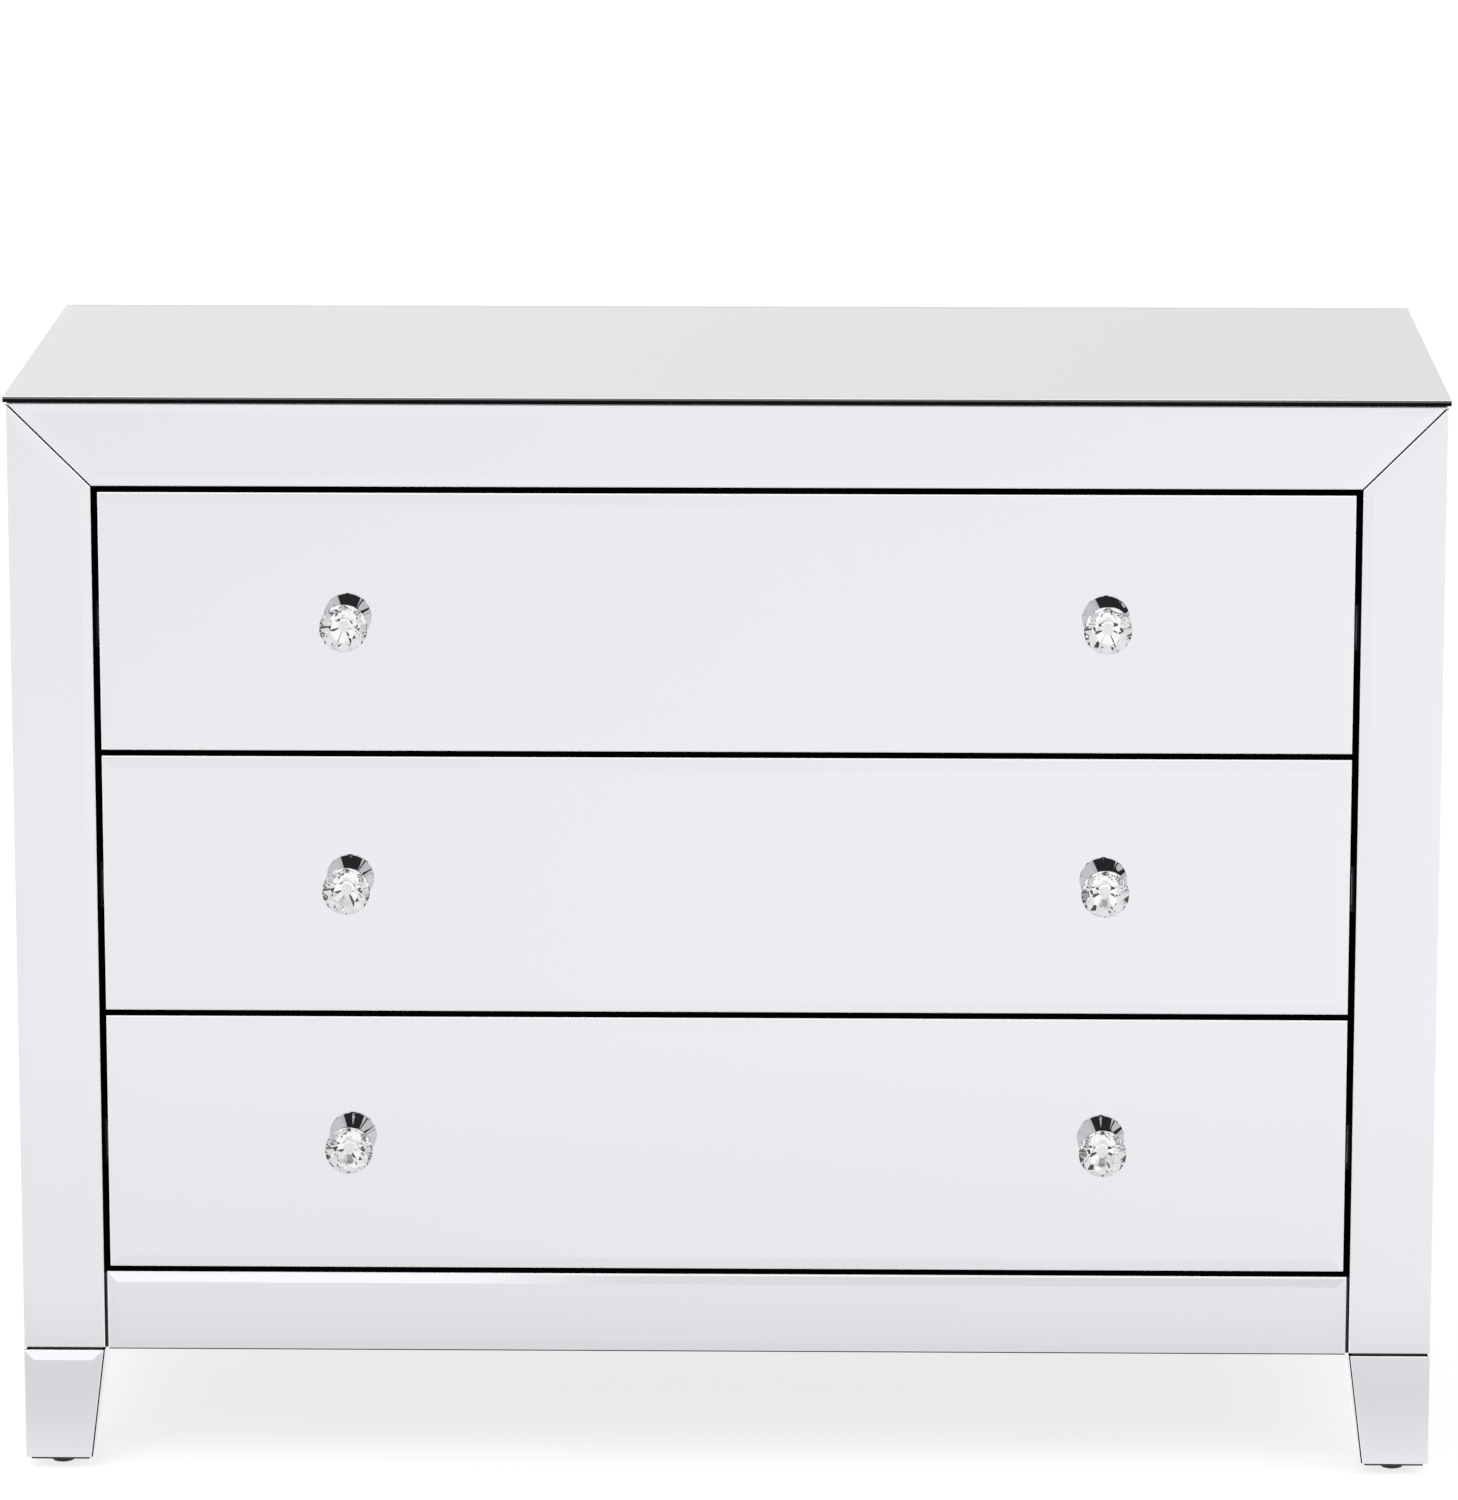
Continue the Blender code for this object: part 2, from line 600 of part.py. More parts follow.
def drawer(row, z_centre):
    """One drawer, parented to an empty on its line of travel at the middle of its mirror."""
    runner = bpy.data.objects.new(f"drawer_{row}_runner", None)
    bpy.context.scene.collection.objects.link(runner)
    runner.location = (0.0, y_front, z_centre)

    cutter = drawer_cutter(row, runner)
    half_height = drawer_height / 2
    bm = bevelled_pane(
        rectangle(x_drawer_mirror, -half_height, half_height),
        CLAD_GLASS,
        DRAWER_BEVEL_WIDTH,
        DRAWER_BEVEL_DEPTH,
    )
    mirror = add_object(
        f"drawer_{row}_mirror",
        bm,
        ["mirror"],
        location=(0.0, CLAD_GLASS, 0.0),
        rotation=FACING_FRONT,
        parent=runner,
    )
    combine(mirror, "DIFFERENCE", cutter)

    x_front = x_drawer_mirror - BOARD_SETBACK
    z_front = half_height - BOARD_SETBACK
    front = board(
        f"drawer_{row}_front",
        (-x_front, CLAD_GLASS + BOND_GAP, -z_front),
        (x_front, front_stack, z_front),
        parent=runner,
    )
    combine(front, "DIFFERENCE", cutter)

    drawer_box(row, runner)
    slide_z = (box_bottom + box_top) / 2
    slide_back = slide_front + slide_length
    for side, sign in SIDES.items():
        knob(row, side, sign, runner)
        slide_member(
            f"slide_moving_{row}_{side}",
            moving_slide_path(),
            sign,
            (sign * x_between, slide_back, slide_z),
            runner,
        )
        slide_member(
            f"slide_fixed_{row}_{side}",
            fixed_slide_path(),
            sign,
            (sign * x_between, y_front + slide_back, z_centre + slide_z),
        )


def main():
    for leftover in list(bpy.data.objects):
        bpy.data.objects.remove(leftover)
    case_mirrors()
    case_boards()
    feet()
    for index, row in enumerate(DRAWERS):
        drawer_bottom = z_opening_bottom + REVEAL + index * (drawer_height + REVEAL)
        drawer(row, drawer_bottom + drawer_height / 2)


main()
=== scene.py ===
import math

import bpy
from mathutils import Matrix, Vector


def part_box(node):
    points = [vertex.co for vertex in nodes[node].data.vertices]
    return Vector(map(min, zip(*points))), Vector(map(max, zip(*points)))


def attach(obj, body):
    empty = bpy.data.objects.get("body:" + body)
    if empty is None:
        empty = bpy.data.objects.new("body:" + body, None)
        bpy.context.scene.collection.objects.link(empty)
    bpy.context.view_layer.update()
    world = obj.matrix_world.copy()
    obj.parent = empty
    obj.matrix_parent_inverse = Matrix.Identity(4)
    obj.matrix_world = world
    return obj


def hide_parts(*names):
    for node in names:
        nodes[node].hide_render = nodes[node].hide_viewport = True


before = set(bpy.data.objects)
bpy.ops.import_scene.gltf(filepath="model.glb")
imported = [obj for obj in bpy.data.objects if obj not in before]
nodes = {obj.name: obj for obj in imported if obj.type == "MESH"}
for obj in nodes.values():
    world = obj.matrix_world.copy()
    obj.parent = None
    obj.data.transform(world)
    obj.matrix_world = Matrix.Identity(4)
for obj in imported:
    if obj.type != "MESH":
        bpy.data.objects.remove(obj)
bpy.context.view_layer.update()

print("frame loaded with", len(nodes), "nodes")

sides = {"left": -1, "right": 1}
rows = ("lower", "middle", "upper")
front, up = Vector((0, -1, 0)), Vector((0, 0, 1))
quarterTurn = math.pi / 2


# hands: select, start and finish a piece
selectModes = {
    "points": (True, False, False),
    "edges": (False, True, False),
    "faces": (False, False, True),
}
seedSize = 0.001  # small plane that is merged into the first point of a line
mergeWithin = 0.000002  # spun points closer than this become one
sharpFrom = math.radians(40)  # edges sharper than this are eased


def letGo():
    if bpy.context.mode != "OBJECT":
        bpy.ops.object.mode_set(mode="OBJECT")
    bpy.ops.object.select_all(action="DESELECT")


def hold(piece):
    letGo()
    piece.select_set(True)
    bpy.context.view_layer.objects.active = piece


def pick(piece, kind, test):
    # selects the points, edges or faces that pass the test, and stays in edit mode
    hold(piece)
    bpy.ops.object.mode_set(mode="EDIT")
    bpy.context.tool_settings.mesh_select_mode = selectModes[kind]
    bpy.ops.mesh.select_all(action="DESELECT")
    bpy.ops.object.mode_set(mode="OBJECT")
    mesh = piece.data
    if kind == "points":
        for point in mesh.vertices:
            point.select = test(point.co)
    elif kind == "edges":
        for edge in mesh.edges:
            start, end = (mesh.vertices[index].co for index in edge.vertices)
            edge.select = test(start, end)
    else:
        for face in mesh.polygons:
            face.select = test(face.center, face.normal)
    bpy.ops.object.mode_set(mode="EDIT")


def pickAll(piece, kind="faces"):
    hold(piece)
    bpy.ops.object.mode_set(mode="EDIT")
    bpy.context.tool_settings.mesh_select_mode = selectModes[kind]
    bpy.ops.mesh.select_all(action="SELECT")


def settled(name):
    # names the new object and puts its place into its mesh
    if bpy.context.mode != "OBJECT":
        bpy.ops.object.mode_set(mode="OBJECT")
    bpy.ops.object.transform_apply(location=True, rotation=True, scale=True)
    piece = bpy.context.active_object
    piece.name = name
    piece.data.name = name
    return piece


def block(name, low, high):
    letGo()
    middle = [(a + b) / 2 for a, b in zip(low, high)]
    size = [b - a for a, b in zip(low, high)]
    bpy.ops.mesh.primitive_cube_add(size=1, location=middle, scale=size)
    return settled(name)


def rod(name, radius, start, end, sidesRound=48):
    letGo()
    start, end = Vector(start), Vector(end)
    bpy.ops.mesh.primitive_cylinder_add(
        vertices=sidesRound,
        radius=radius,
        depth=(end - start).length,
        location=(start + end) / 2,
        rotation=(end - start).to_track_quat("Z", "Y").to_euler(),
    )
    return settled(name)


def chain(name, points):
    # a line of points, each one extruded from the one before
    letGo()
    bpy.ops.mesh.primitive_plane_add(size=seedSize)
    piece = settled(name)
    pickAll(piece, "points")
    bpy.ops.mesh.merge(type="CENTER")
    bpy.ops.transform.translate(value=points[0])
    for before, after in zip(points, points[1:]):
        step = Vector(after) - Vector(before)
        bpy.ops.mesh.extrude_region_move(TRANSFORM_OT_translate={"value": step})
    return piece


def turned(name, profile, steps):
    # spins a line of (radius, height) points about Z
    piece = chain(name, [(radius, 0, height) for radius, height in profile])
    pickAll(piece, "points")
    bpy.ops.mesh.spin(steps=steps, angle=2 * math.pi, center=(0, 0, 0), axis=(0, 0, 1))
    pickAll(piece, "points")
    bpy.ops.mesh.remove_doubles(threshold=mergeWithin)
    bpy.ops.mesh.normals_make_consistent(inside=False)
    letGo()
    return piece


def placed(piece, location, rotation=(0, 0, 0)):
    hold(piece)
    piece.location = location
    piece.rotation_euler = rotation
    bpy.ops.object.transform_apply(location=True, rotation=True, scale=True)
    return piece


def copied(piece, name, shift=(0, 0, 0)):
    hold(piece)
    bpy.ops.object.duplicate(linked=False)
    bpy.ops.transform.translate(value=shift)
    return settled(name)


def joined(pieces, name):
    letGo()
    for piece in pieces:
        piece.select_set(True)
    bpy.context.view_layer.objects.active = pieces[0]
    bpy.ops.object.join()
    return settled(name)


def worked(piece, kind, **settings):
    # adds a modifier and applies it
    hold(piece)
    modifier = piece.modifiers.new(kind.title(), kind)
    for setting, value in settings.items():
        setattr(modifier, setting, value)
    bpy.ops.object.modifier_apply(modifier=modifier.name)
    return piece


def cutBy(piece, cutter):
    worked(piece, "BOOLEAN", operation="DIFFERENCE", solver="EXACT", object=cutter)
    bpy.data.objects.remove(cutter)


def eased(piece, width, segments):
    # a small round on every sharp edge
    return worked(
        piece, "BEVEL", width=width, segments=segments, limit_method="ANGLE", angle_limit=sharpFrom
    )


def smoothed(piece, degrees=35):
    hold(piece)
    bpy.ops.object.shade_smooth_by_angle(angle=math.radians(degrees))
    return piece


def painted(piece, *finishes):
    piece.data.materials.clear()
    for finish in finishes:
        piece.data.materials.append(finish)
    return piece


def fixedTo(piece, body, slot, *stoodFor):
    letGo()
    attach(piece, body)
    if stoodFor:
        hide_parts(*stoodFor)
    return piece


# paint shop: node trees written as sums
class Wire:
    def __init__(self, recipe, socket):
        self.recipe = recipe
        self.socket = socket

    def sum(self, operation, left, right):
        return self.recipe.node("ShaderNodeMath", {"operation": operation}, {0: left, 1: right})

    def __add__(self, other):
        return self.sum("ADD", self, other)

    def __radd__(self, other):
        return self.sum("ADD", other, self)

    def __sub__(self, other):
        return self.sum("SUBTRACT", self, other)

    def __rsub__(self, other):
        return self.sum("SUBTRACT", other, self)

    def __mul__(self, other):
        return self.sum("MULTIPLY", self, other)

    def __rmul__(self, other):
        return self.sum("MULTIPLY", other, self)

    def most(self, other):
        return self.sum("MAXIMUM", self, other)

    def least(self, other):
        return self.sum("MINIMUM", self, other)


class Recipe:
    def __init__(self, tree):
        self.tree = tree

    def node(self, kind, settings=None, inputs=None, output=0):
        made = self.tree.nodes.new(kind)
        for setting, value in (settings or {}).items():
            setattr(made, setting, value)
        for key, value in (inputs or {}).items():
            self.feed(made.inputs[key], value)
        return Wire(self, made.outputs[output])

    def feed(self, socket, value):
        if isinstance(value, Wire):
            self.tree.links.new(value.socket, socket)
        elif socket.type == "RGBA" and len(value) == 3:
            socket.default_value = (*value, 1)
        else:
            socket.default_value = value

    def shade(self, name, value):
        self.feed(self.shader.inputs[name], value)

    def spot(self, output="Object"):
        return self.node("ShaderNodeTexCoord", output=output)

    def axis(self, spot, letter):
        return self.node("ShaderNodeSeparateXYZ", {}, {"Vector": spot}, output=letter)

    def place(self, stretch=(1, 1, 1), turn=(0, 0, 0)):
        inputs = {"Vector": self.spot(), "Scale": stretch, "Rotation": turn}
        return self.node("ShaderNodeMapping", {}, inputs)

    def noise(self, spot, scale, detail=2.0, roughness=0.5):
        inputs = {"Vector": spot, "Scale": scale, "Detail": detail, "Roughness": roughness}
        return self.node("ShaderNodeTexNoise", {}, inputs)

    def eased(self, value, low, high, lowOut=0.0, highOut=1.0):
        inputs = {"Value": value, "From Min": low, "From Max": high}
        inputs |= {"To Min": lowOut, "To Max": highOut}
        return self.node("ShaderNodeMapRange", {"interpolation_type": "SMOOTHSTEP"}, inputs)

    def mixed(self, share, first, second):
        inputs = {0: share, 6: first, 7: second}  # 6 and 7 are the two colours
        return self.node("ShaderNodeMix", {"data_type": "RGBA"}, inputs, output=2)

    def bumped(self, height, distance):
        return self.node("ShaderNodeBump", {}, {"Height": height, "Distance": distance})

    def ray(self, kind):
        return self.node("ShaderNodeLightPath", output=f"Is {kind} Ray")

    def glowing(self, strength):
        return self.node("ShaderNodeEmission", {}, {"Color": strength, "Strength": 1.0})


def newFinish(name, **plain):
    # a Principled material: plain socket values here, what varies is fed afterwards
    material = bpy.data.materials.new(name)
    material.use_nodes = True
    recipe = Recipe(material.node_tree)
    recipe.shader = material.node_tree.nodes["Principled BSDF"]
    recipe.material = material
    for key, value in plain.items():
        recipe.shade(key.replace("_", " "), value)
    return recipe


def newGlow(name):
    # a material with no shader yet, for what only lights the studio
    material = bpy.data.materials.new(name)
    material.use_nodes = True
    recipe = Recipe(material.node_tree)
    recipe.tree.nodes.remove(recipe.tree.nodes["Principled BSDF"])
    recipe.surface = recipe.tree.nodes["Material Output"].inputs["Surface"]
    recipe.material = material
    return recipe


# In a look, a noise is its scale per metre, detail and roughness. A name with From is the range
# over which a change comes in, and two more numbers are what it starts from and ends at.
# the rail and foot tints are darker copies of the same silvering: painted shade for the dimmer
# floor that those low mirrors reflect
silverTints = {
    "silvered_glass": {"clear": (0.838, 0.832, 0.862), "cool": (0.817, 0.813, 0.848)},
    "rail_silvering_painted_shade": {"clear": (0.802, 0.798, 0.828), "cool": (0.788, 0.785, 0.818)},
    "foot_silvering_painted_shade": {"clear": (0.796, 0.792, 0.835), "cool": (0.780, 0.778, 0.826)},
}


def makeSilvering(name):
    look = {
        "drift": 1.7,  # slow change of tint
        "polish": 0.008,
        "haze": 0.022,
        "hazePatches": (5.0, 3.0),
        "hazeFrom": (0.48, 0.78),
        "wipes": (42.0, 4.0, 0.6),  # streaks of the polishing cloth, on a slant
        "wipeStretch": (1, 1, 0.22),
        "wipeTurn": (0.0, 0.5, 0.0),
        "rolls": (11.0, 1.0),  # slow waves of float glass
        "rollDepth": 0.000012,
    }
    tints = silverTints[name]
    r = newFinish(name, Metallic=1.0)
    spot = r.place()
    r.shade("Base Color", r.mixed(r.noise(spot, look["drift"]), tints["clear"], tints["cool"]))
    patches = r.eased(r.noise(spot, *look["hazePatches"]), *look["hazeFrom"])
    wipes = r.noise(r.place(look["wipeStretch"], look["wipeTurn"]), *look["wipes"])
    r.shade("Roughness", patches * wipes * look["haze"] + look["polish"])
    r.shade("Normal", r.bumped(r.noise(spot, *look["rolls"]), look["rollDepth"]))
    return r.material


def makeGroundEdge():
    look = {
        "bright": (0.96, 0.965, 0.975),
        "dull": (0.86, 0.88, 0.90),
        "dullFrom": (0.5, 0.8),
        "grit": (1400.0, 3.0, 0.7),
        "shine": 0.6,
        "roughness": 0.22,
        "uneven": 0.2,
        "depth": 0.00002,
    }
    r = newFinish("ground_edge", Specular_IOR_Level=look["shine"])
    grit = r.noise(r.place(), *look["grit"])
    r.shade("Base Color", r.mixed(r.eased(grit, *look["dullFrom"]), look["bright"], look["dull"]))
    r.shade("Roughness", grit * look["uneven"] + look["roughness"])
    r.shade("Normal", r.bumped(grit, look["depth"]))
    return r.material


def makeEdgePaint(name, paintedLightAbove=None):
    # black paint on the glass edge; given two heights, it turns grey above them: painted light on
    # the upper part of the edge
    look = {
        "black": (0.003, 0.003, 0.004),
        "thin": (0.010, 0.011, 0.013),
        "paintedLightGrey": (0.15, 0.15, 0.16),
        "thinFrom": (0.55, 0.8),
        "streaks": (160.0, 4.0, 0.6),
        "shine": 0.04,
        "roughness": 0.45,
        "uneven": 0.2,
    }
    r = newFinish(name, Specular_IOR_Level=look["shine"])
    streaks = r.noise(r.place(), *look["streaks"])
    colour = r.mixed(r.eased(streaks, *look["thinFrom"]), look["black"], look["thin"])
    if paintedLightAbove:
        # painted light: the edge turns grey above the given heights
        height = r.axis(r.spot(), "Z")
        colour = r.mixed(r.eased(height, *paintedLightAbove), colour, look["paintedLightGrey"])
    r.shade("Base Color", colour)
    r.shade("Roughness", streaks * look["uneven"] + look["roughness"])
    return r.material


# sprayed paint: orange peel, a few dust nibs, and paler rubbed patches
sprayed = {
    "nibsFrom": (0.72, 0.80),
    "nibHeight": 0.7,
    "rubbedFrom": (0.45, 0.8),
    "rubbedDulls": 0.14,
    "peelDulls": 0.08,
}
lacquers = {
    "mirror_backing": {
        "colour": (0.030, 0.032, 0.036), "worn": (0.05, 0.052, 0.056),
        "shine": 0.3, "roughness": 0.5, "depth": 0.00002,
        "peel": 700.0, "nibs": 300.0, "rubbed": 20.0,
    },
    "case_lacquer": {
        "colour": (0.010, 0.010, 0.012), "worn": (0.019, 0.019, 0.021),
        "shine": 0.45, "roughness": 0.34, "depth": 0.00006,
        "peel": 620.0, "nibs": 240.0, "rubbed": 9.0,
    },
    "back_board_paint": {
        "colour": (0.014, 0.014, 0.015), "worn": (0.032, 0.031, 0.031),
        "shine": 0.3, "roughness": 0.55, "depth": 0.00010,
        "peel": 1100.0, "nibs": 420.0, "rubbed": 30.0,
    },
    "foot_lacquer": {
        "colour": (0.009, 0.009, 0.011), "worn": (0.020, 0.020, 0.022),
        "shine": 0.45, "roughness": 0.34, "depth": 0.00005,
        "peel": 800.0, "nibs": 260.0, "rubbed": 26.0,
    },
    "glide_nylon": {
        "colour": (0.012, 0.012, 0.013), "worn": (0.045, 0.045, 0.045),
        "shine": 0.4, "roughness": 0.5, "depth": 0.00005,
        "peel": 1600.0, "nibs": 500.0, "rubbed": 120.0,
    },
}


def makeLacquer(name):
    look = lacquers[name]
    r = newFinish(name, Specular_IOR_Level=look["shine"])
    spot = r.place()
    peel = r.noise(spot, look["peel"])
    nibs = r.eased(r.noise(spot, look["nibs"], detail=1.0), *sprayed["nibsFrom"])
    patches = r.noise(spot, look["rubbed"], detail=4.0, roughness=0.6)
    rubbed = r.eased(patches, *sprayed["rubbedFrom"])
    r.shade("Base Color", r.mixed(rubbed, look["colour"], look["worn"]))
    dulled = rubbed * sprayed["rubbedDulls"] + peel * sprayed["peelDulls"]
    r.shade("Roughness", dulled + look["roughness"])
    r.shade("Normal", r.bumped(peel + nibs * sprayed["nibHeight"], look["depth"]))
    return r.material


def makeLaminate():
    # paper foil with a fine linen weave pressed into it
    look = {
        "dark": (0.058, 0.057, 0.062),
        "light": (0.098, 0.096, 0.102),
        "threads": 780.0,
        "lengthwise": 26.0,
        "slubs": (60.0, 3.0, 0.6),
        "slubStretch": (1, 6, 1),
        "slubShare": 0.4,
        "shine": 0.4,
        "roughness": 0.62,
        "threadPolish": 0.16,
        "depth": 0.00006,
    }
    r = newFinish("drawer_laminate", Specular_IOR_Level=look["shine"])
    fine, long = look["threads"], look["lengthwise"]
    warp = r.noise(r.place((fine, fine, long)), 1.0)
    weft = r.noise(r.place((long, long, fine)), 1.0)
    slubs = r.noise(r.place(look["slubStretch"]), *look["slubs"])
    weave = warp.most(weft) * (1 - look["slubShare"]) + slubs * look["slubShare"]
    r.shade("Base Color", r.mixed(weave, look["dark"], look["light"]))
    r.shade("Roughness", look["roughness"] - weave * look["threadPolish"])
    r.shade("Normal", r.bumped(weave, look["depth"]))
    return r.material


def makeZinc():
    # rolled strip with zinc plating: faint lines along the slide, a cloudy blue-grey passivation,
    # and front ends painted near black as painted shade
    look = {
        "bright": (0.62, 0.63, 0.65),
        "cloud": (0.47, 0.50, 0.55),
        "clouds": (38.0, 3.0),
        "cloudFrom": (0.35, 0.7),
        "warm": (0.60, 0.57, 0.50),
        "warmth": 17.0,
        "warmFrom": (0.6, 0.8),
        "warmMost": 0.4,
        "paintedShadeEnds": (0.055, 0.056, 0.06),  # the strips' front ends, cut after plating, painted near black: painted shade for the dark inside the reveal
        "paintedShadeUntil": (-0.18665, -0.18630),  # along Y, just behind those ends
        "shadedEndsRoughness": 0.3,
        "lines": (1.0, 3.0, 0.7),
        "lineStretch": (900, 14, 900),
        "lineRoughness": 0.18,
        "roughness": 0.24,
        "depth": 0.00002,
    }
    r = newFinish("zinc_strip", Metallic=1.0)
    lines = r.noise(r.place(look["lineStretch"]), *look["lines"])
    clouds = r.eased(r.noise(r.place(), *look["clouds"]), *look["cloudFrom"])
    tint = r.mixed(clouds, look["bright"], look["cloud"])
    warmth = r.eased(r.noise(r.place(), look["warmth"]), *look["warmFrom"], 0.0, look["warmMost"])
    tint = r.mixed(warmth, tint, look["warm"])
    # painted shade: the strips turn near black at their front ends
    pastShadedEnds = r.eased(r.axis(r.spot(), "Y"), *look["paintedShadeUntil"])
    r.shade("Base Color", r.mixed(pastShadedEnds, look["paintedShadeEnds"], tint))
    rough = lines * look["lineRoughness"] + look["roughness"]
    r.shade("Roughness", rough + (1 - pastShadedEnds) * look["shadedEndsRoughness"])
    r.shade("Normal", r.bumped(lines, look["depth"]))
    return r.material


platings = {
    "screw_zinc": {"colour": (0.60, 0.61, 0.63), "polish": 0.20},
    "ball_steel": {"colour": (0.70, 0.70, 0.71), "polish": 0.06},
    "chrome_plate": {"colour": (0.78, 0.785, 0.80), "polish": 0.02},
}


def makePlating(name):
    look = {
        "smears": (210.0, 3.0, 0.6),
        "dullFrom": (0.5, 0.8),
        "dulled": 0.93,
        "softFrom": (0.45, 0.85),
        "softer": 0.04,
        **platings[name],
    }
    colour, polish = look["colour"], look["polish"]
    r = newFinish(name, Metallic=1.0)
    smears = r.noise(r.place(), *look["smears"])
    dull = [part * look["dulled"] for part in colour]
    r.shade("Base Color", r.mixed(r.eased(smears, *look["dullFrom"]), colour, dull))
    r.shade("Roughness", r.eased(smears, *look["softFrom"], polish, polish + look["softer"]))
    return r.material


def makeCrystal():
    look = {
        "clear": (1.0, 1.0, 1.0),
        "cool": (0.955, 0.965, 0.99),
        "veil": 90.0,
        "coolFrom": (0.45, 0.7),
        "marks": 700.0,
        "marksFrom": (0.66, 0.8),
        "marked": 0.02,
        "refraction": 1.56,
    }
    r = newFinish("cut_crystal", IOR=look["refraction"], Transmission_Weight=1.0)
    veil = r.eased(r.noise(r.place(), look["veil"]), *look["coolFrom"])
    r.shade("Base Color", r.mixed(veil, look["clear"], look["cool"]))
    marks = r.noise(r.place(), look["marks"])
    r.shade("Roughness", r.eased(marks, *look["marksFrom"], 0.0, look["marked"]))
    return r.material


topPaintedLightFrom = (0.0028, 0.0020)  # below the top mirror's face; above these heights the top's edge is painted grey, painted light
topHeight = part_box("top_mirror")[1].z

silvering, railShadedSilvering, footShadedSilvering = (makeSilvering(name) for name in silverTints)
groundEdge = makeGroundEdge()
edgePaint = makeEdgePaint("edge_paint")
topEdgePaintedLight = makeEdgePaint("top_edge_painted_light", [topHeight - drop for drop in topPaintedLightFrom])
backingPaint, caseLacquer, backBoardPaint, footLacquer, glideNylon = (
    makeLacquer(name) for name in lacquers
)
laminate = makeLaminate()
zincStrip = makeZinc()
screwZinc, ballSteel, chromePlate = (makePlating(name) for name in platings)
cutCrystal = makeCrystal()
print("finishes ready")


# mirrors: a slab, cut to its outline, ground round its face, then arrised
caseGlass = {"bevel": 0.0075, "depth": 0.0012, "arris": 0.0008}
bottomGlass = {**caseGlass, "arris": 0.0012}
topGlass = {"bevel": 0.010, "depth": 0.0006, "arris": 0.0004}
drawerGlass = {**caseGlass, "bevel": 0.0085, "depth": 0.0006, "hole": 0.0025, "drillPast": 0.002}
# how far a face leans the way its pane faces: 1 is square on, 0 is edge on and -1 is the back
leans = {"square": 0.95, "front": 0.9, "arris": 0.3, "edge": -0.5}
underside = -0.3  # Z of the normals that look down
rimDigits = 7  # decimals that tell one rim from another
silverFace, groundFace, edgeFace, backFace = range(4)  # places of a pane's finishes


def paneFrom(name, low, high, facing, bevelDepth, cuts=()):
    facing = Vector(facing)
    axis = max(range(3), key=lambda i: abs(facing[i]))
    low, high = list(low), list(high)
    if facing[axis] > 0:
        high[axis] -= bevelDepth
    else:
        low[axis] += bevelDepth
    piece = block(name, low, high)
    for point, outward in cuts:
        pickAll(piece)
        bpy.ops.mesh.bisect(plane_co=point, plane_no=outward, use_fill=True, clear_outer=True)
    return piece


def groundPane(piece, facing, glass, paintedShadeBelow=False, edge=None, silver=None):
    # grinds the wide bevel, takes the arris off its rim, and gives each face its finish
    facing = Vector(facing).normalized()
    pick(piece, "faces", lambda centre, normal: normal.dot(facing) > leans["square"])
    bpy.ops.mesh.inset(thickness=glass["bevel"], depth=glass["depth"], use_even_offset=True)
    bpy.ops.object.mode_set(mode="OBJECT")

    def edgesWhere(test):
        return {
            tuple(sorted(key))
            for face in piece.data.polygons
            if test(face.normal.dot(facing))
            for key in face.edge_keys
        }

    def rounded(start, end):
        return tuple(round(c, rimDigits) for co in (start, end) for c in co)

    rim = edgesWhere(lambda lean: abs(lean) < leans["arris"])
    rim &= edgesWhere(lambda lean: lean > leans["front"])
    places = {rounded(*(piece.data.vertices[key].co for key in pair)) for pair in rim}

    def onRim(start, end):
        return rounded(start, end) in places or rounded(end, start) in places

    pick(piece, "edges", onRim)
    bpy.ops.mesh.bevel(offset=glass["arris"], segments=1, affect="EDGES")
    bpy.ops.object.mode_set(mode="OBJECT")
    painted(piece, silver or silvering, groundEdge, edge or edgePaint, backingPaint)
    for face in piece.data.polygons:
        lean = face.normal.dot(facing)
        if lean > leans["front"]:
            face.material_index = silverFace
        elif lean > leans["arris"]:
            # arrises that face down may take the black edge paint: painted shade under the pane
            isShadedBelow = paintedShadeBelow and face.normal.z < underside
            face.material_index = edgeFace if isShadedBelow else groundFace
        elif lean > leans["edge"]:
            face.material_index = edgeFace
        else:
            face.material_index = backFace
    return piece


def mirrorNode(node, name, facing, glass, body="carcass", cuts=(), **finish):
    low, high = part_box(node)
    piece = paneFrom(name, low, high, facing, glass["depth"], cuts)
    groundPane(piece, facing, glass, **finish)
    fixedTo(piece, body, "mirror", node)
    return piece


def caseMirrors():
    mirrorNode("top_mirror", "top_pane", up, topGlass, edge=topEdgePaintedLight)
    low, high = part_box("top_rail_mirror")
    mitres = [((low.x, 0, high.z), (-1, 0, -1)), ((high.x, 0, high.z), (1, 0, -1))]
    mirrorNode("top_rail_mirror", "top_rail_pane", front, caseGlass, cuts=mitres)
    # the bottom rail's downward arris is painted black and its silvering is darker: both painted
    # shade
    bottomShadedFinish = {"paintedShadeBelow": True, "silver": railShadedSilvering}
    mirrorNode("bottom_rail_mirror", "bottom_rail_pane", front, bottomGlass, **bottomShadedFinish)
    for side, sign in sides.items():
        low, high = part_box(f"stile_mirror_{side}")
        outer = high.x if sign > 0 else low.x
        mitre = [((outer, 0, high.z), (-sign, 0, 1))]
        mirrorNode(f"stile_mirror_{side}", f"stile_pane_{side}", front, caseGlass, cuts=mitre)
        mirrorNode(f"side_mirror_{side}", f"side_pane_{side}", (sign, 0, 0), caseGlass)


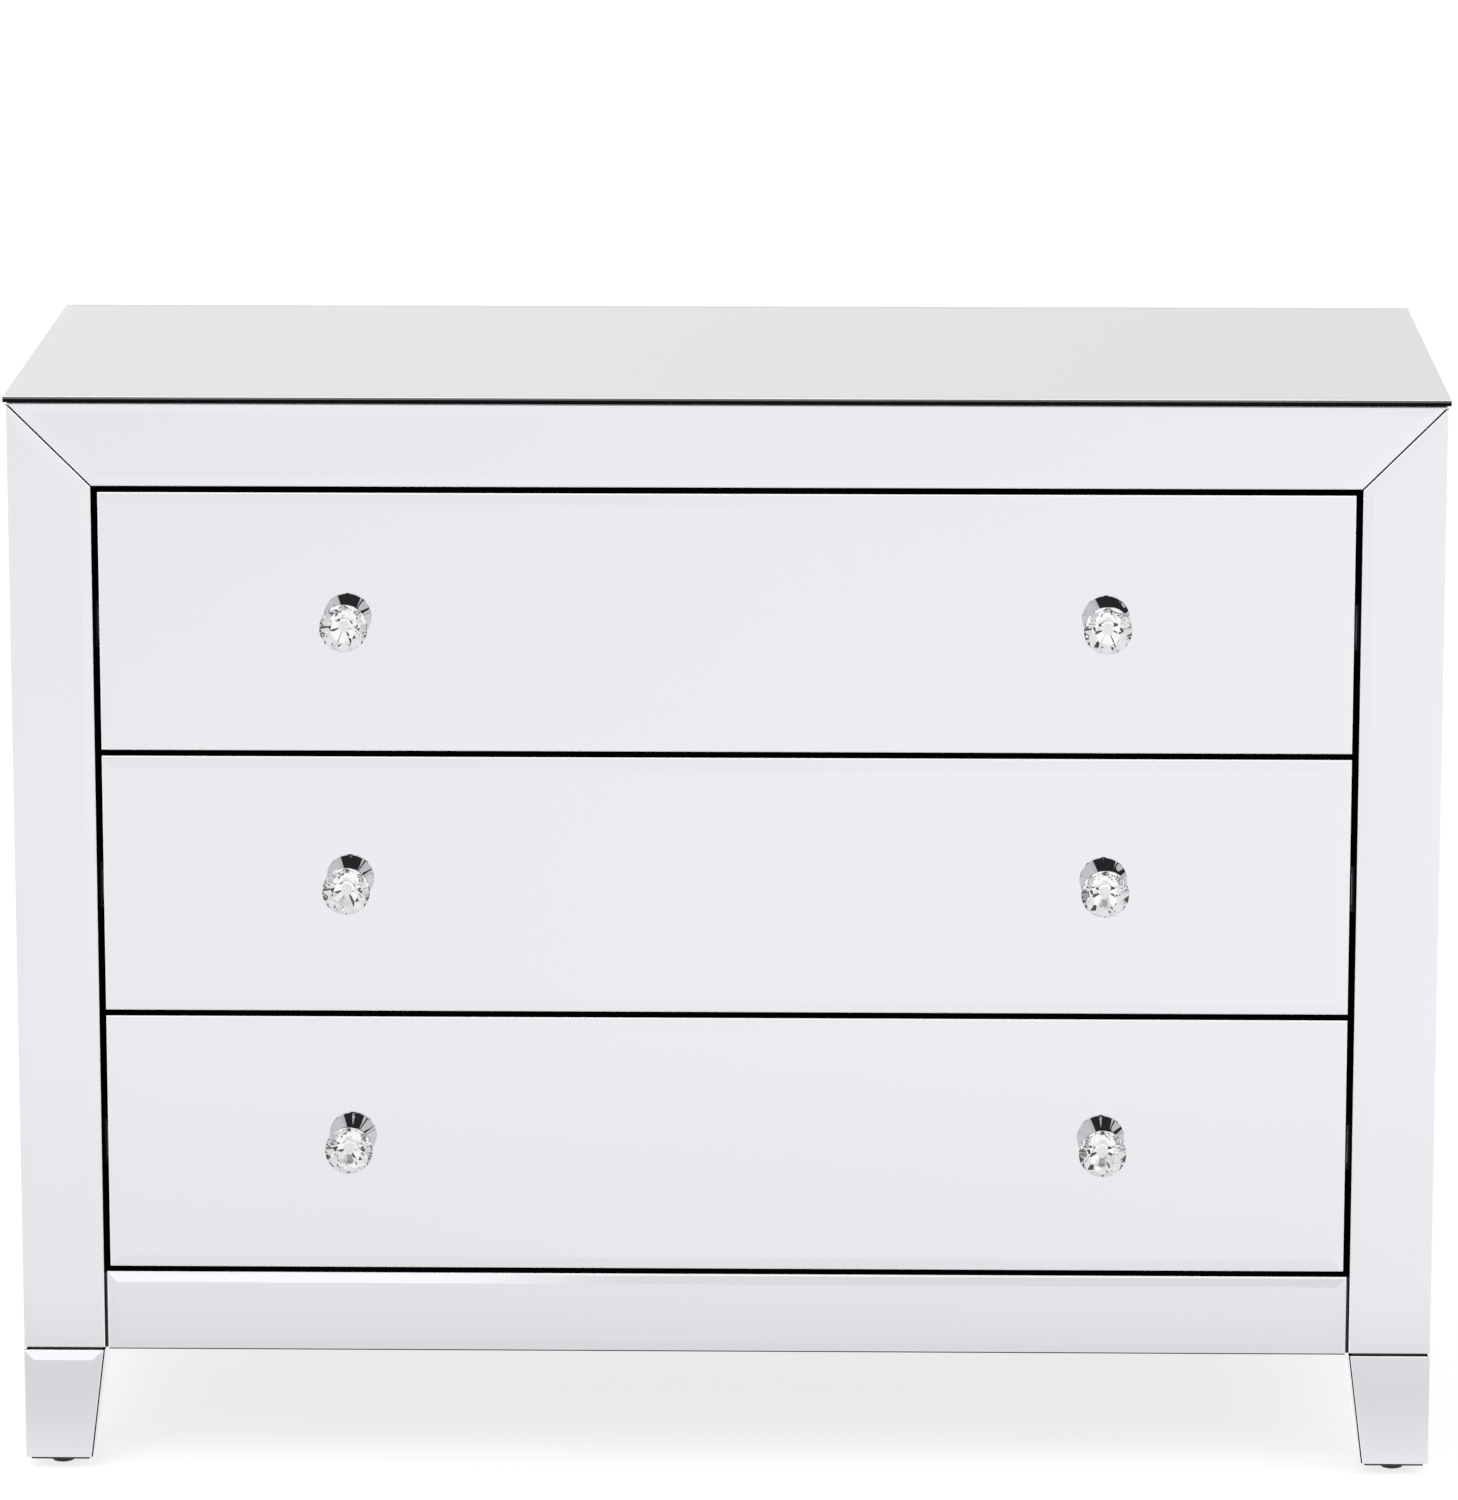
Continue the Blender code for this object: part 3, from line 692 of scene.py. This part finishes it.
def drawerMirrors():
    past = drawerGlass["drillPast"]
    for row in rows:
        node = f"drawer_{row}_mirror"
        low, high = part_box(node)
        piece = mirrorNode(node, f"drawer_{row}_pane", front, drawerGlass, f"drawer_{row}")
        for side in sides:
            knobLow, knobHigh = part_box(f"knob_crystal_{row}_{side}")
            axis = (knobLow + knobHigh) / 2
            start, end = (axis.x, low.y - past, axis.z), (axis.x, high.y + past, axis.z)
            cutBy(piece, painted(rod("drill", drawerGlass["hole"], start, end), edgePaint))


caseMirrors()
drawerMirrors()
print("mirrors ground")


# feet: black core, three panes, base plate and glide
footSizes = {
    "taper": 0.0105,  # lean of the inner faces over the block's height
    "glass": 0.0030,
    "bond": 0.0003,
    "cover": 0.0023,  # front pane stops this far inside the inner pane's face
    "bottom": 0.0092,
    "top": 0.0928,
    "leansPast": 0.03,  # points this far from the outer corner belong to a leaning face
    "neckInset": 0.004,
    "plateInset": 0.004,
    "paintedFaceBack": 0.0012,
    "coreEdge": (0.0003, 2),
    "plateEdge": (0.0004, 3),
    "glideRadius": 0.0095,
    "glideHeight": 0.0072,
    # shares of that radius and height, from the middle of the sole up and in again
    "glideProfile": [(0, 0), (0.55, 0), (0.86, 0.10), (0.97, 0.36), (1, 0.62), (1, 1), (0, 1)],
    "glideSteps": 48,
}
footGlass = {**caseGlass, "arris": 0.0006}
footInnerGlass = {**caseGlass, "arris": 0.0002}


def leaned(piece, test, shift):
    pick(piece, "points", test)
    bpy.ops.transform.translate(value=shift)
    bpy.ops.object.mode_set(mode="OBJECT")


def makeFoot(end, endSign, side, sign):
    node = f"foot_{end}_{side}"
    low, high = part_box(node)
    s = footSizes
    outerX, innerX = (high.x, low.x) if sign > 0 else (low.x, high.x)
    outerY, innerY = (low.y, high.y) if endSign < 0 else (high.y, low.y)
    inX, inY = -sign, -endSign  # from the outer corner inwards
    leanX, leanY = (-inX * s["taper"], 0, 0), (0, -inY * s["taper"], 0)
    stack = s["glass"] + s["bond"]
    middleZ = (s["bottom"] + s["top"]) / 2

    def isLow(co):
        return co.z < middleZ

    def isLowInX(co):
        return isLow(co) and abs(co.x - outerX) > s["leansPast"]

    def isLowInY(co):
        return isLow(co) and abs(co.y - outerY) > s["leansPast"]

    def box(name, xs, ys, zs=(s["bottom"], s["top"])):
        xs, ys = sorted(xs), sorted(ys)
        return block(name, (xs[0], ys[0], zs[0]), (xs[1], ys[1], zs[1]))

    # the front pane faces -Y; on a rear foot that is the leaning inner face
    frontY = outerY if endSign < 0 else innerY
    backY = innerY if endSign < 0 else outerY
    backY -= s["paintedFaceBack"]
    coverX = innerX - inX * s["cover"]
    paneY = (frontY + footGlass["depth"], frontY + s["glass"])
    pane = box(f"{node}_pane_front", (outerX, coverX), paneY)
    leaned(pane, isLowInX, leanX)
    if endSign > 0:
        leaned(pane, isLow, leanY)
    # the feet's panes take the darker foot silvering, painted shade
    groundPane(pane, front, footGlass, silver=footShadedSilvering)
    fixedTo(pane, "carcass", "mirror")

    # the side panes run from behind the front pane to the painted face
    sideFront, sideBack = frontY + stack, backY
    middleY = (sideFront + sideBack) / 2
    for label, faceX, facing, glass in (
        ("outer", outerX, sign, footGlass), ("inner", innerX, -sign, footInnerGlass)
    ):
        xs = (faceX - facing * glass["depth"], faceX - facing * s["glass"])
        pane = box(f"{node}_pane_{label}", xs, (sideFront, sideBack))
        leaned(pane, lambda co: isLow(co) and (co.y - middleY) * inY > 0, leanY)
        if label == "inner":
            leaned(pane, isLow, leanX)
        groundPane(pane, (facing, 0, 0), glass, silver=footShadedSilvering)
        fixedTo(pane, "carcass", "mirror")

    # core, with the neck that lifts the case off the panes
    coreX = (outerX + inX * stack, innerX - inX * stack)
    core = box(f"{node}_core", coreX, (frontY + stack, backY))
    leaned(core, isLowInX, leanX)
    leaned(core, isLowInY, leanY)
    pick(core, "faces", lambda centre, normal: normal.z > leans["front"])
    bpy.ops.mesh.inset(thickness=s["neckInset"] - stack + s["bond"])
    neck = (0, 0, high.z - s["top"])
    bpy.ops.mesh.extrude_region_move(TRANSFORM_OT_translate={"value": neck})
    bpy.ops.object.mode_set(mode="OBJECT")
    eased(core, *s["coreEdge"])
    fixedTo(painted(smoothed(core), footLacquer), "carcass", "foot", node)

    # base plate, and the glide under its middle
    footWidth = abs(innerX - outerX) - s["taper"]
    insets = (s["plateInset"], footWidth - s["plateInset"])
    plateX, plateY = [outerX + inX * far for far in insets], [outerY + inY * far for far in insets]
    plate = box(f"{node}_plate", plateX, plateY, (s["glideHeight"], s["bottom"]))
    eased(plate, *s["plateEdge"])
    fixedTo(painted(smoothed(plate), footLacquer), "carcass", "foot")
    centre = (outerX + inX * footWidth / 2, outerY + inY * footWidth / 2, 0)
    profile = [(s["glideRadius"] * out, s["glideHeight"] * rise) for out, rise in s["glideProfile"]]
    glide = placed(turned(f"{node}_glide", profile, s["glideSteps"]), centre)
    fixedTo(painted(smoothed(glide, degrees=50), glideNylon), "carcass", "foot")


for end, endSign in (("front", -1), ("rear", 1)):
    for side, sign in sides.items():
        makeFoot(end, endSign, side, sign)
print("feet made")


# knobs: chrome cone cup, cut crystal and fixing screw
# each is modelled with its axis on Z and the mirror's face at z = 0, then turned to face forwards
cupSizes = {
    "profile": [
        # foot
        (0.0, 0.0003), (0.0066, 0.0003), (0.0070, 0.0007), (0.0070, 0.0016), (0.00685, 0.0021),
        # neck
        (0.0064, 0.0026), (0.0057, 0.0030), (0.0051, 0.0034), (0.0049, 0.0042), (0.0050, 0.0050),
        # cone and rim
        (0.0054, 0.0058), (0.0172, 0.02045), (0.01745, 0.0208), (0.01735, 0.0210), (0.0164, 0.0210),
        # bowl
        (0.0161, 0.02089), (0.00620, 0.00865), (0.0, 0.00865),
    ],
    "steps": 96,
}


def makeCup():
    cup = turned("cup_form", cupSizes["profile"], cupSizes["steps"])
    return painted(smoothed(cup, degrees=28), chromePlate)


gemSizes = {
    "radius": 0.0175,
    "girdleLow": 0.02321,
    "girdle": 0.0010,
    "crown": 0.0055,
    "tableRadius": 0.0095,
    "starRadius": 0.0136,
    "waistRadius": 0.01175,
    "culetDrop": 0.01426,
    "facets": 8,
    "roundness": 96,
    "mergeWithin": 0.00002,
}


def makeGem():
    # cut as a cutter does it: a round blank, then one flat after another
    s = gemSizes
    girdleTop = s["girdleLow"] + s["girdle"]
    tableTop = girdleTop + s["crown"]
    culet = s["girdleLow"] - s["culetDrop"]
    step = 2 * math.pi / s["facets"]

    def at(radius, angle, height):
        return Vector((radius * math.cos(angle), radius * math.sin(angle), height))

    gem = rod("gem_form", s["radius"], (0, 0, culet), (0, 0, tableTop), s["roundness"])
    reach = s["starRadius"] * math.cos(step / 2)
    starTop = tableTop - (reach - s["tableRadius"]) * s["crown"] / (s["radius"] - s["tableRadius"])
    waist = s["girdleLow"] - s["culetDrop"] / 2
    flats = []
    for index in range(s["facets"]):
        angle = index * step
        before, half, after = angle - step / 2, angle + step / 2, angle + step
        around = (angle, half, after)
        table, tableNext = (at(s["tableRadius"], a, tableTop) for a in (angle, after))
        star, starBefore = (at(s["starRadius"], a, starTop) for a in (half, before))
        rim, rimHalf, rimNext = (at(s["radius"], a, girdleTop) for a in around)
        under, underHalf, underNext = (at(s["radius"], a, s["girdleLow"]) for a in around)
        low, lowBefore = (at(s["waistRadius"], a, waist) for a in (half, before))
        flats += [
            (table, starBefore, star),  # kite
            (table, star, tableNext),  # star
            (rim, rimHalf, star), (rimHalf, rimNext, star),  # upper halves
            (under, low, lowBefore),  # pavilion main
            (under, low, underHalf), (underHalf, low, underNext),  # lower halves
        ]
    middle = Vector((0, 0, s["girdleLow"]))
    for one, two, three in flats:
        outward = (two - one).cross(three - one).normalized()
        if outward.dot(one - middle) < 0:
            outward = -outward
        pickAll(gem)
        bpy.ops.mesh.bisect(plane_co=one, plane_no=outward, use_fill=True, clear_outer=True)
    pickAll(gem, "points")
    bpy.ops.mesh.remove_doubles(threshold=s["mergeWithin"])
    bpy.ops.mesh.normals_make_consistent(inside=False)
    bpy.ops.object.mode_set(mode="OBJECT")
    return painted(gem, cutCrystal)


knobScrew = {
    "shank": 0.0020,
    "head": 0.0042,
    "rise": 0.0025,
    "recess": 0.0013,
    "reach": 0.0023,
    "blade": 0.00055,
    "stack": 0.0206,  # mirror, front board and bonds, from the mirror's face to the screw's head
    "tip": 0.0002,
}
slideScrew = {
    "shank": 0.0018,
    "head": 0.0031,
    "rise": 0.0014,
    "recess": 0.0009,
    "reach": 0.0017,
    "blade": 0.0004,
    "tip": -0.0011,
    "web": 0.0012,  # thickness of the strip that it holds
    "places": (0.09, 0.5, 0.91),  # shares of the slide's length
}
screwShape = {
    # shares of the head's radius and rise
    "dome": [(0, 1), (0.55, 0.97), (0.82, 0.80), (0.96, 0.50), (1, 0.20)],
    "underHead": 0.98,
    "pointFrom": 0.8,
    "point": 0.4,
    "steps": 32,
    "cutPast": 0.001,
}


def makeScrew(name, s, top=0.0):
    # pan head with a cross recess; the head's flat side is at z = top, the shank ends at the tip
    head, rise, shank, tip = s["head"], s["rise"], s["shank"], s["tip"]
    shape = screwShape
    down = -1 if tip > top else 1
    profile = [(head * out, top + down * rise * high) for out, high in shape["dome"]]
    profile += [
        (head * shape["underHead"], top),
        (shank, top),
        (shank, tip + down * shank * shape["pointFrom"]),
        (shank * shape["point"], tip),
        (0, tip),
    ]
    screw = turned(name, profile, shape["steps"])
    heights = sorted((top + down * (rise - s["recess"]), top + down * (rise + shape["cutPast"])))
    for x, y in ((s["reach"], s["blade"]), (s["blade"], s["reach"])):
        cutBy(screw, block("cutter", (-x, -y, heights[0]), (x, y, heights[1])))
    return painted(smoothed(screw, degrees=30), screwZinc)


def makeKnobs():
    cup, gem = makeCup(), makeGem()
    screw = makeScrew("knob_screw_form", knobScrew, -knobScrew["stack"])
    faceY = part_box("drawer_lower_mirror")[0].y
    for form in (cup, gem, screw):
        placed(form, (0, faceY, 0), (quarterTurn, 0, 0))
    for row in rows:
        body = f"drawer_{row}"
        for side in sides:
            low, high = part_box(f"knob_crystal_{row}_{side}")
            shift = ((low.x + high.x) / 2, 0, (low.z + high.z) / 2)
            cupNode, gemNode = f"knob_cup_{row}_{side}", f"knob_crystal_{row}_{side}"
            fixedTo(copied(cup, f"cup_{row}_{side}", shift), body, "chrome", cupNode)
            fixedTo(copied(gem, f"gem_{row}_{side}", shift), body, "crystal", gemNode)
            fixedTo(copied(screw, f"knob_screw_{row}_{side}", shift), body, "slide_steel")
    for form in (cup, gem, screw):
        bpy.data.objects.remove(form)


makeKnobs()
print("knobs made")


# slides: balls in their cage, and the screws that hold each member
cageSizes = {
    "length": 0.088,
    "setback": 0.006,
    "sheet": 0.0004,
    "webOut": 0.0016,
    "lipOut": 0.0062,
    "flange": 0.0159,
    "ballOut": 0.0051,
    "ballUp": 0.01465,
    "ballRadius": 0.00149,
    "balls": 8,
    "firstBall": 0.006,
    "pitch": 0.0108,
}


def makeBallCage(row, side, sign):
    s = cageSizes
    low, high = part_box(f"slide_fixed_{row}_{side}")
    wall = high.x if sign > 0 else low.x
    middle = (low.z + high.z) / 2
    start = low.y + s["setback"]

    def out(distance):
        return wall - sign * distance

    lip, web = out(s["lipOut"]), out(s["webOut"])
    strip = chain(f"ball_cage_{row}_{side}", [
        (lip, start, middle - s["flange"]), (web, start, middle - s["flange"]),
        (web, start, middle + s["flange"]), (lip, start, middle + s["flange"]),
    ])
    pickAll(strip, "edges")
    bpy.ops.mesh.extrude_region_move(TRANSFORM_OT_translate={"value": (0, s["length"], 0)})
    worked(strip, "SOLIDIFY", thickness=s["sheet"], offset=0)
    pickAll(strip)
    bpy.ops.mesh.normals_make_consistent(inside=False)
    bpy.ops.object.mode_set(mode="OBJECT")
    fixedTo(painted(strip, zincStrip), "carcass", "slide_steel")

    letGo()
    balls = []
    for upDown in (-1, 1):
        for index in range(s["balls"]):
            along = start + s["firstBall"] + index * s["pitch"]
            spot = (out(s["ballOut"]), along, middle + upDown * s["ballUp"])
            bpy.ops.mesh.primitive_ico_sphere_add(
                subdivisions=2, radius=s["ballRadius"], location=spot
            )
            balls.append(bpy.context.active_object)
    race = joined(balls, f"balls_{row}_{side}")
    fixedTo(painted(smoothed(race, degrees=60), ballSteel), "carcass", "slide_steel")


def makeSlideScrews():
    form = makeScrew("slide_screw_form", slideScrew)
    for row in rows:
        for side, sign in sides.items():
            for member, body in (("fixed", "carcass"), ("moving", f"drawer_{row}")):
                low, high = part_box(f"slide_{member}_{row}_{side}")
                middle = (low.z + high.z) / 2
                # heads stand on the web, inside the channel
                headWay = -sign if member == "fixed" else sign
                back = low.x if headWay > 0 else high.x
                web = back + headWay * slideScrew["web"]
                held = []
                for share in slideScrew["places"]:
                    place = (web, low.y + (high.y - low.y) * share, middle)
                    held.append(placed(copied(form, "twin"), place, (0, headWay * quarterTurn, 0)))
                fixedTo(joined(held, f"slide_screws_{member}_{row}_{side}"), body, "slide_steel")
    bpy.data.objects.remove(form)


for row in rows:
    for side, sign in sides.items():
        makeBallCage(row, side, sign)
makeSlideScrews()
print("slides fitted")


# pins round the back board
pinSizes = {
    "head": 0.0026,
    "rise": 0.0004,
    "sunk": 0.0004,
    "proud": 0.00004,
    "profile": [(0, 1), (0.93, 1), (1, 0.9)],  # shares of head and rise
    "steps": 20,
    "inset": 0.007,
    "across": 7,
    "down": 5,
}


def makeBackPins():
    s = pinSizes
    low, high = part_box("back_board")
    profile = [(s["head"] * out, s["rise"] * share) for out, share in s["profile"]]
    profile += [(s["head"], -s["sunk"]), (0, -s["sunk"])]
    form = turned("pin_form", profile, s["steps"])
    placed(form, (0, high.y + s["proud"] - s["rise"], 0), (-quarterTurn, 0, 0))
    left, right, bottom, top = (
        low.x + s["inset"], high.x - s["inset"], low.z + s["inset"], high.z - s["inset"]
    )
    spots = []
    for index in range(s["across"]):
        x = left + (high.x - low.x - 2 * s["inset"]) * index / (s["across"] - 1)
        spots += [(x, bottom), (x, top)]
    for index in range(1, s["down"] - 1):
        z = bottom + (high.z - low.z - 2 * s["inset"]) * index / (s["down"] - 1)
        spots += [(left, z), (right, z)]
    pins = joined([copied(form, "twin", (x, 0, z)) for x, z in spots], "back_board_pins")
    fixedTo(painted(smoothed(pins, degrees=40), screwZinc), "carcass", "slide_steel")
    bpy.data.objects.remove(form)


makeBackPins()
print("back board pinned")


# boards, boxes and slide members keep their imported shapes
for name, node in nodes.items():
    if node.hide_render:
        continue
    if name.startswith("slide_"):
        painted(node, zincStrip)
    elif name.startswith("drawer_") and not name.endswith("_front"):
        painted(node, laminate)
    elif name == "back_board":
        painted(node, backBoardPaint)
    else:
        painted(node, caseLacquer)


# floor, surroundings, light and camera
def makeFloor():
    look = {
        "size": 60,
        "white": (0.92, 0.92, 0.925),
        "glow": 1.23,  # to the camera
        "share": 0.64,  # of that glow; the rest is matt and takes the shadow
        # what mirrors and crystals see: how far in front of the chest's middle, and its glow there;
        # the dip in glow close in front of the chest is a painted shadow of the chest, and the
        # brighter glow under the chest is painted light
        "mirroredShare": 0.9,
        "under": (0.16, 1.05),
        "paintedShadowDeepest": (0.42, 0.85),
        "near": (0.72, 0.975),
        "far": (0.8, 1.6, 1.0, 1.04),  # it gains this much again between these two
        "leftToRight": (-1.3, 1.3, 0.965, 1.035),
        "beside": (1.0, 2.2, 1.0, 0.88),  # it dims on either side of the chest
        "besideEnds": (1.2, 2.0),  # but no longer this far in front
    }
    letGo()
    bpy.ops.mesh.primitive_plane_add(size=look["size"], location=(0, 0, 0))
    floor = settled("studio_floor")
    r = newGlow("studio_floor_white")
    matt = r.node("ShaderNodeBsdfDiffuse", {}, {"Color": look["white"]})
    spot = r.spot()
    across, along = r.axis(spot, "X"), r.axis(spot, "Y")
    inFront = along * -1
    # painted shadow in front of the chest and painted light under it, seen only by mirrors and
    # crystals
    (dimAt, paintedShadowGlow), (nearAt, near), (underAt, under) = look["paintedShadowDeepest"], look["near"], look["under"]
    paintedShadowOutwards = r.eased(inFront, dimAt, nearAt, paintedShadowGlow, near) * r.eased(inFront, *look["far"])
    mirrored = paintedShadowOutwards.most(r.eased(along, -dimAt, -underAt, paintedShadowGlow, under))
    mirrored = mirrored * r.eased(across, *look["leftToRight"])
    aside = r.eased(across.most(across * -1), *look["beside"])
    mirrored = mirrored * aside.most(r.eased(inFront, *look["besideEnds"]))
    camera = r.ray("Camera")
    seen = r.ray("Camera").most(r.ray("Glossy").most(r.ray("Transmission")))
    lit = r.glowing(camera * look["glow"] + (1 - camera) * mirrored)
    share = camera * look["share"] + (1 - camera) * seen * look["mirroredShare"]
    r.feed(r.surface, r.node("ShaderNodeMixShader", {}, {0: share, 1: matt, 2: lit}))
    painted(floor, r.material)


def makeSurroundings():
    # what mirrors and crystals see, by the Z, X and Y of the way they look; each range is where
    # a change starts and ends, and the strengths before and after it
    look = {
        "soft": 0.80,  # for matt surfaces
        "room": (0.2, 0.9, 1.0, 0.72),  # from the horizon upwards
        "behind": (-0.75, -0.35),  # towards the walls behind and beside the chest
        "wall": (-0.12, 0.12, 0.885, 0.83),  # from left to right
        # dimmer low down and to the sides, which draws the bevels of the top
        "wallLow": (0.03, 0.09, 0.86, 1.0),
        "wallSides": (0.15, 0.19, 1.0, 0.93),
        "overhead": (0.90, 0.96, 1.0, 0.5),
        "turns": 2.5,  # rays that have turned more often meet what is dark
        "ceiling": (0.83, 0.86),
        "beamFrom": (0.655, 0.665),
        "beamTo": (0.715, 0.725, 1.0, 0.0),
        "beamAcross": (0.0, 0.1),
        "clutter": 3.2,
        "clutterFrom": (0.80, 0.82),
        "dark": 0.03,
    }
    world = bpy.data.worlds.new("studio_white")
    bpy.context.scene.world = world
    world.use_nodes = True
    r = Recipe(world.node_tree)
    way = r.spot("Generated")
    height, across, along = r.axis(way, "Z"), r.axis(way, "X"), r.axis(way, "Y")
    behind = r.eased(along, *look["behind"])
    glossy = r.eased(height, *look["room"])
    wall = r.eased(across, *look["wall"]) * r.eased(height, *look["wallLow"])
    wall = wall * r.eased(across.most(across * -1), *look["wallSides"])
    glossy = glossy * (1 - behind) + glossy.least(wall) * behind
    glossy = glossy * r.eased(height, *look["overhead"])
    # ceiling, beam and clutter mark the mirrored cups and make the crystals glitter
    depth = r.node("ShaderNodeLightPath", output="Ray Depth")
    twice = r.node("ShaderNodeMath", {"operation": "GREATER_THAN"}, {0: depth, 1: look["turns"]})
    beam = r.eased(height, *look["beamFrom"]) * r.eased(height, *look["beamTo"])
    beam = beam * r.eased(across, *look["beamAcross"])
    cells = {"Vector": way, "Scale": look["clutter"]}
    clutter = r.node("ShaderNodeTexVoronoi", {}, cells, output="Color")
    clutter = r.eased(r.axis(clutter, "X"), *look["clutterFrom"])
    dark = r.eased(height, *look["ceiling"]).most(beam).most(clutter) * twice
    glossy = glossy * (1 - dark) + dark * look["dark"]
    camera = r.ray("Camera")
    mirrored = r.ray("Glossy").most(r.ray("Transmission"))
    strength = camera + (1 - camera) * (mirrored * glossy + (1 - mirrored) * look["soft"])
    background = r.tree.nodes["Background"]
    r.feed(background.inputs["Color"], strength)
    r.feed(background.inputs["Strength"], 1.0)


def makeLamps():
    lamps = {
        "key": {"at": (-2.2, -3.0, 3.4), "size": 2.6, "power": 62.0},
        "fill": {"at": (2.8, -1.6, 2.6), "size": 2.2, "power": 26.0},
    }
    aim = Vector((0, 0, 0.4))
    for name, lamp in lamps.items():
        light = bpy.data.lights.new(name, "AREA")
        light.shape = "DISK"
        light.size = lamp["size"]
        light.energy = lamp["power"]
        holder = bpy.data.objects.new(name, light)
        bpy.context.scene.collection.objects.link(holder)
        holder.location = lamp["at"]
        holder.rotation_euler = (aim - Vector(lamp["at"])).to_track_quat("-Z", "Y").to_euler()
        holder.visible_glossy = False
        holder.visible_transmission = False


def makeCard():
    # long low card far in front, bright on the left and dim on the right, which only mirrors see
    look = {
        "low": (-3.2, -6.35, 0.23),
        "high": (3.2, -6.33, 0.46),
        "glow": (-0.58, -0.22, 1.2, 0.89),  # fades between these two places across
    }
    card = block("light_card", look["low"], look["high"])
    r = newGlow("light_card")
    r.feed(r.surface, r.glowing(r.eased(r.axis(r.spot(), "X"), *look["glow"])))
    painted(card, r.material)
    for way in ("camera", "diffuse", "shadow", "transmission", "volume_scatter"):
        setattr(card, "visible_" + way, False)


def makeCamera():
    look = {
        "at": (0.0970, -5.6101, 1.6878),
        "pitch": 11.865,
        "yaw": 1.005,
        "focalPixels": 7523.5,
        "longSide": 1500.0,
        "sensor": 36,
        "sees": 200,
    }
    lens = bpy.data.cameras.new("camera")
    lens.sensor_width = look["sensor"]
    lens.lens = look["focalPixels"] / look["longSide"] * look["sensor"]
    lens.clip_end = look["sees"]
    camera = bpy.data.objects.new("camera", lens)
    bpy.context.scene.collection.objects.link(camera)
    camera.location = look["at"]
    camera.rotation_euler = (math.radians(90 - look["pitch"]), 0, math.radians(look["yaw"]))
    bpy.context.scene.camera = camera


makeFloor()
makeSurroundings()
makeLamps()
makeCard()
makeCamera()
bpy.context.scene.view_settings.view_transform = "Standard"
print("studio set")

letGo()
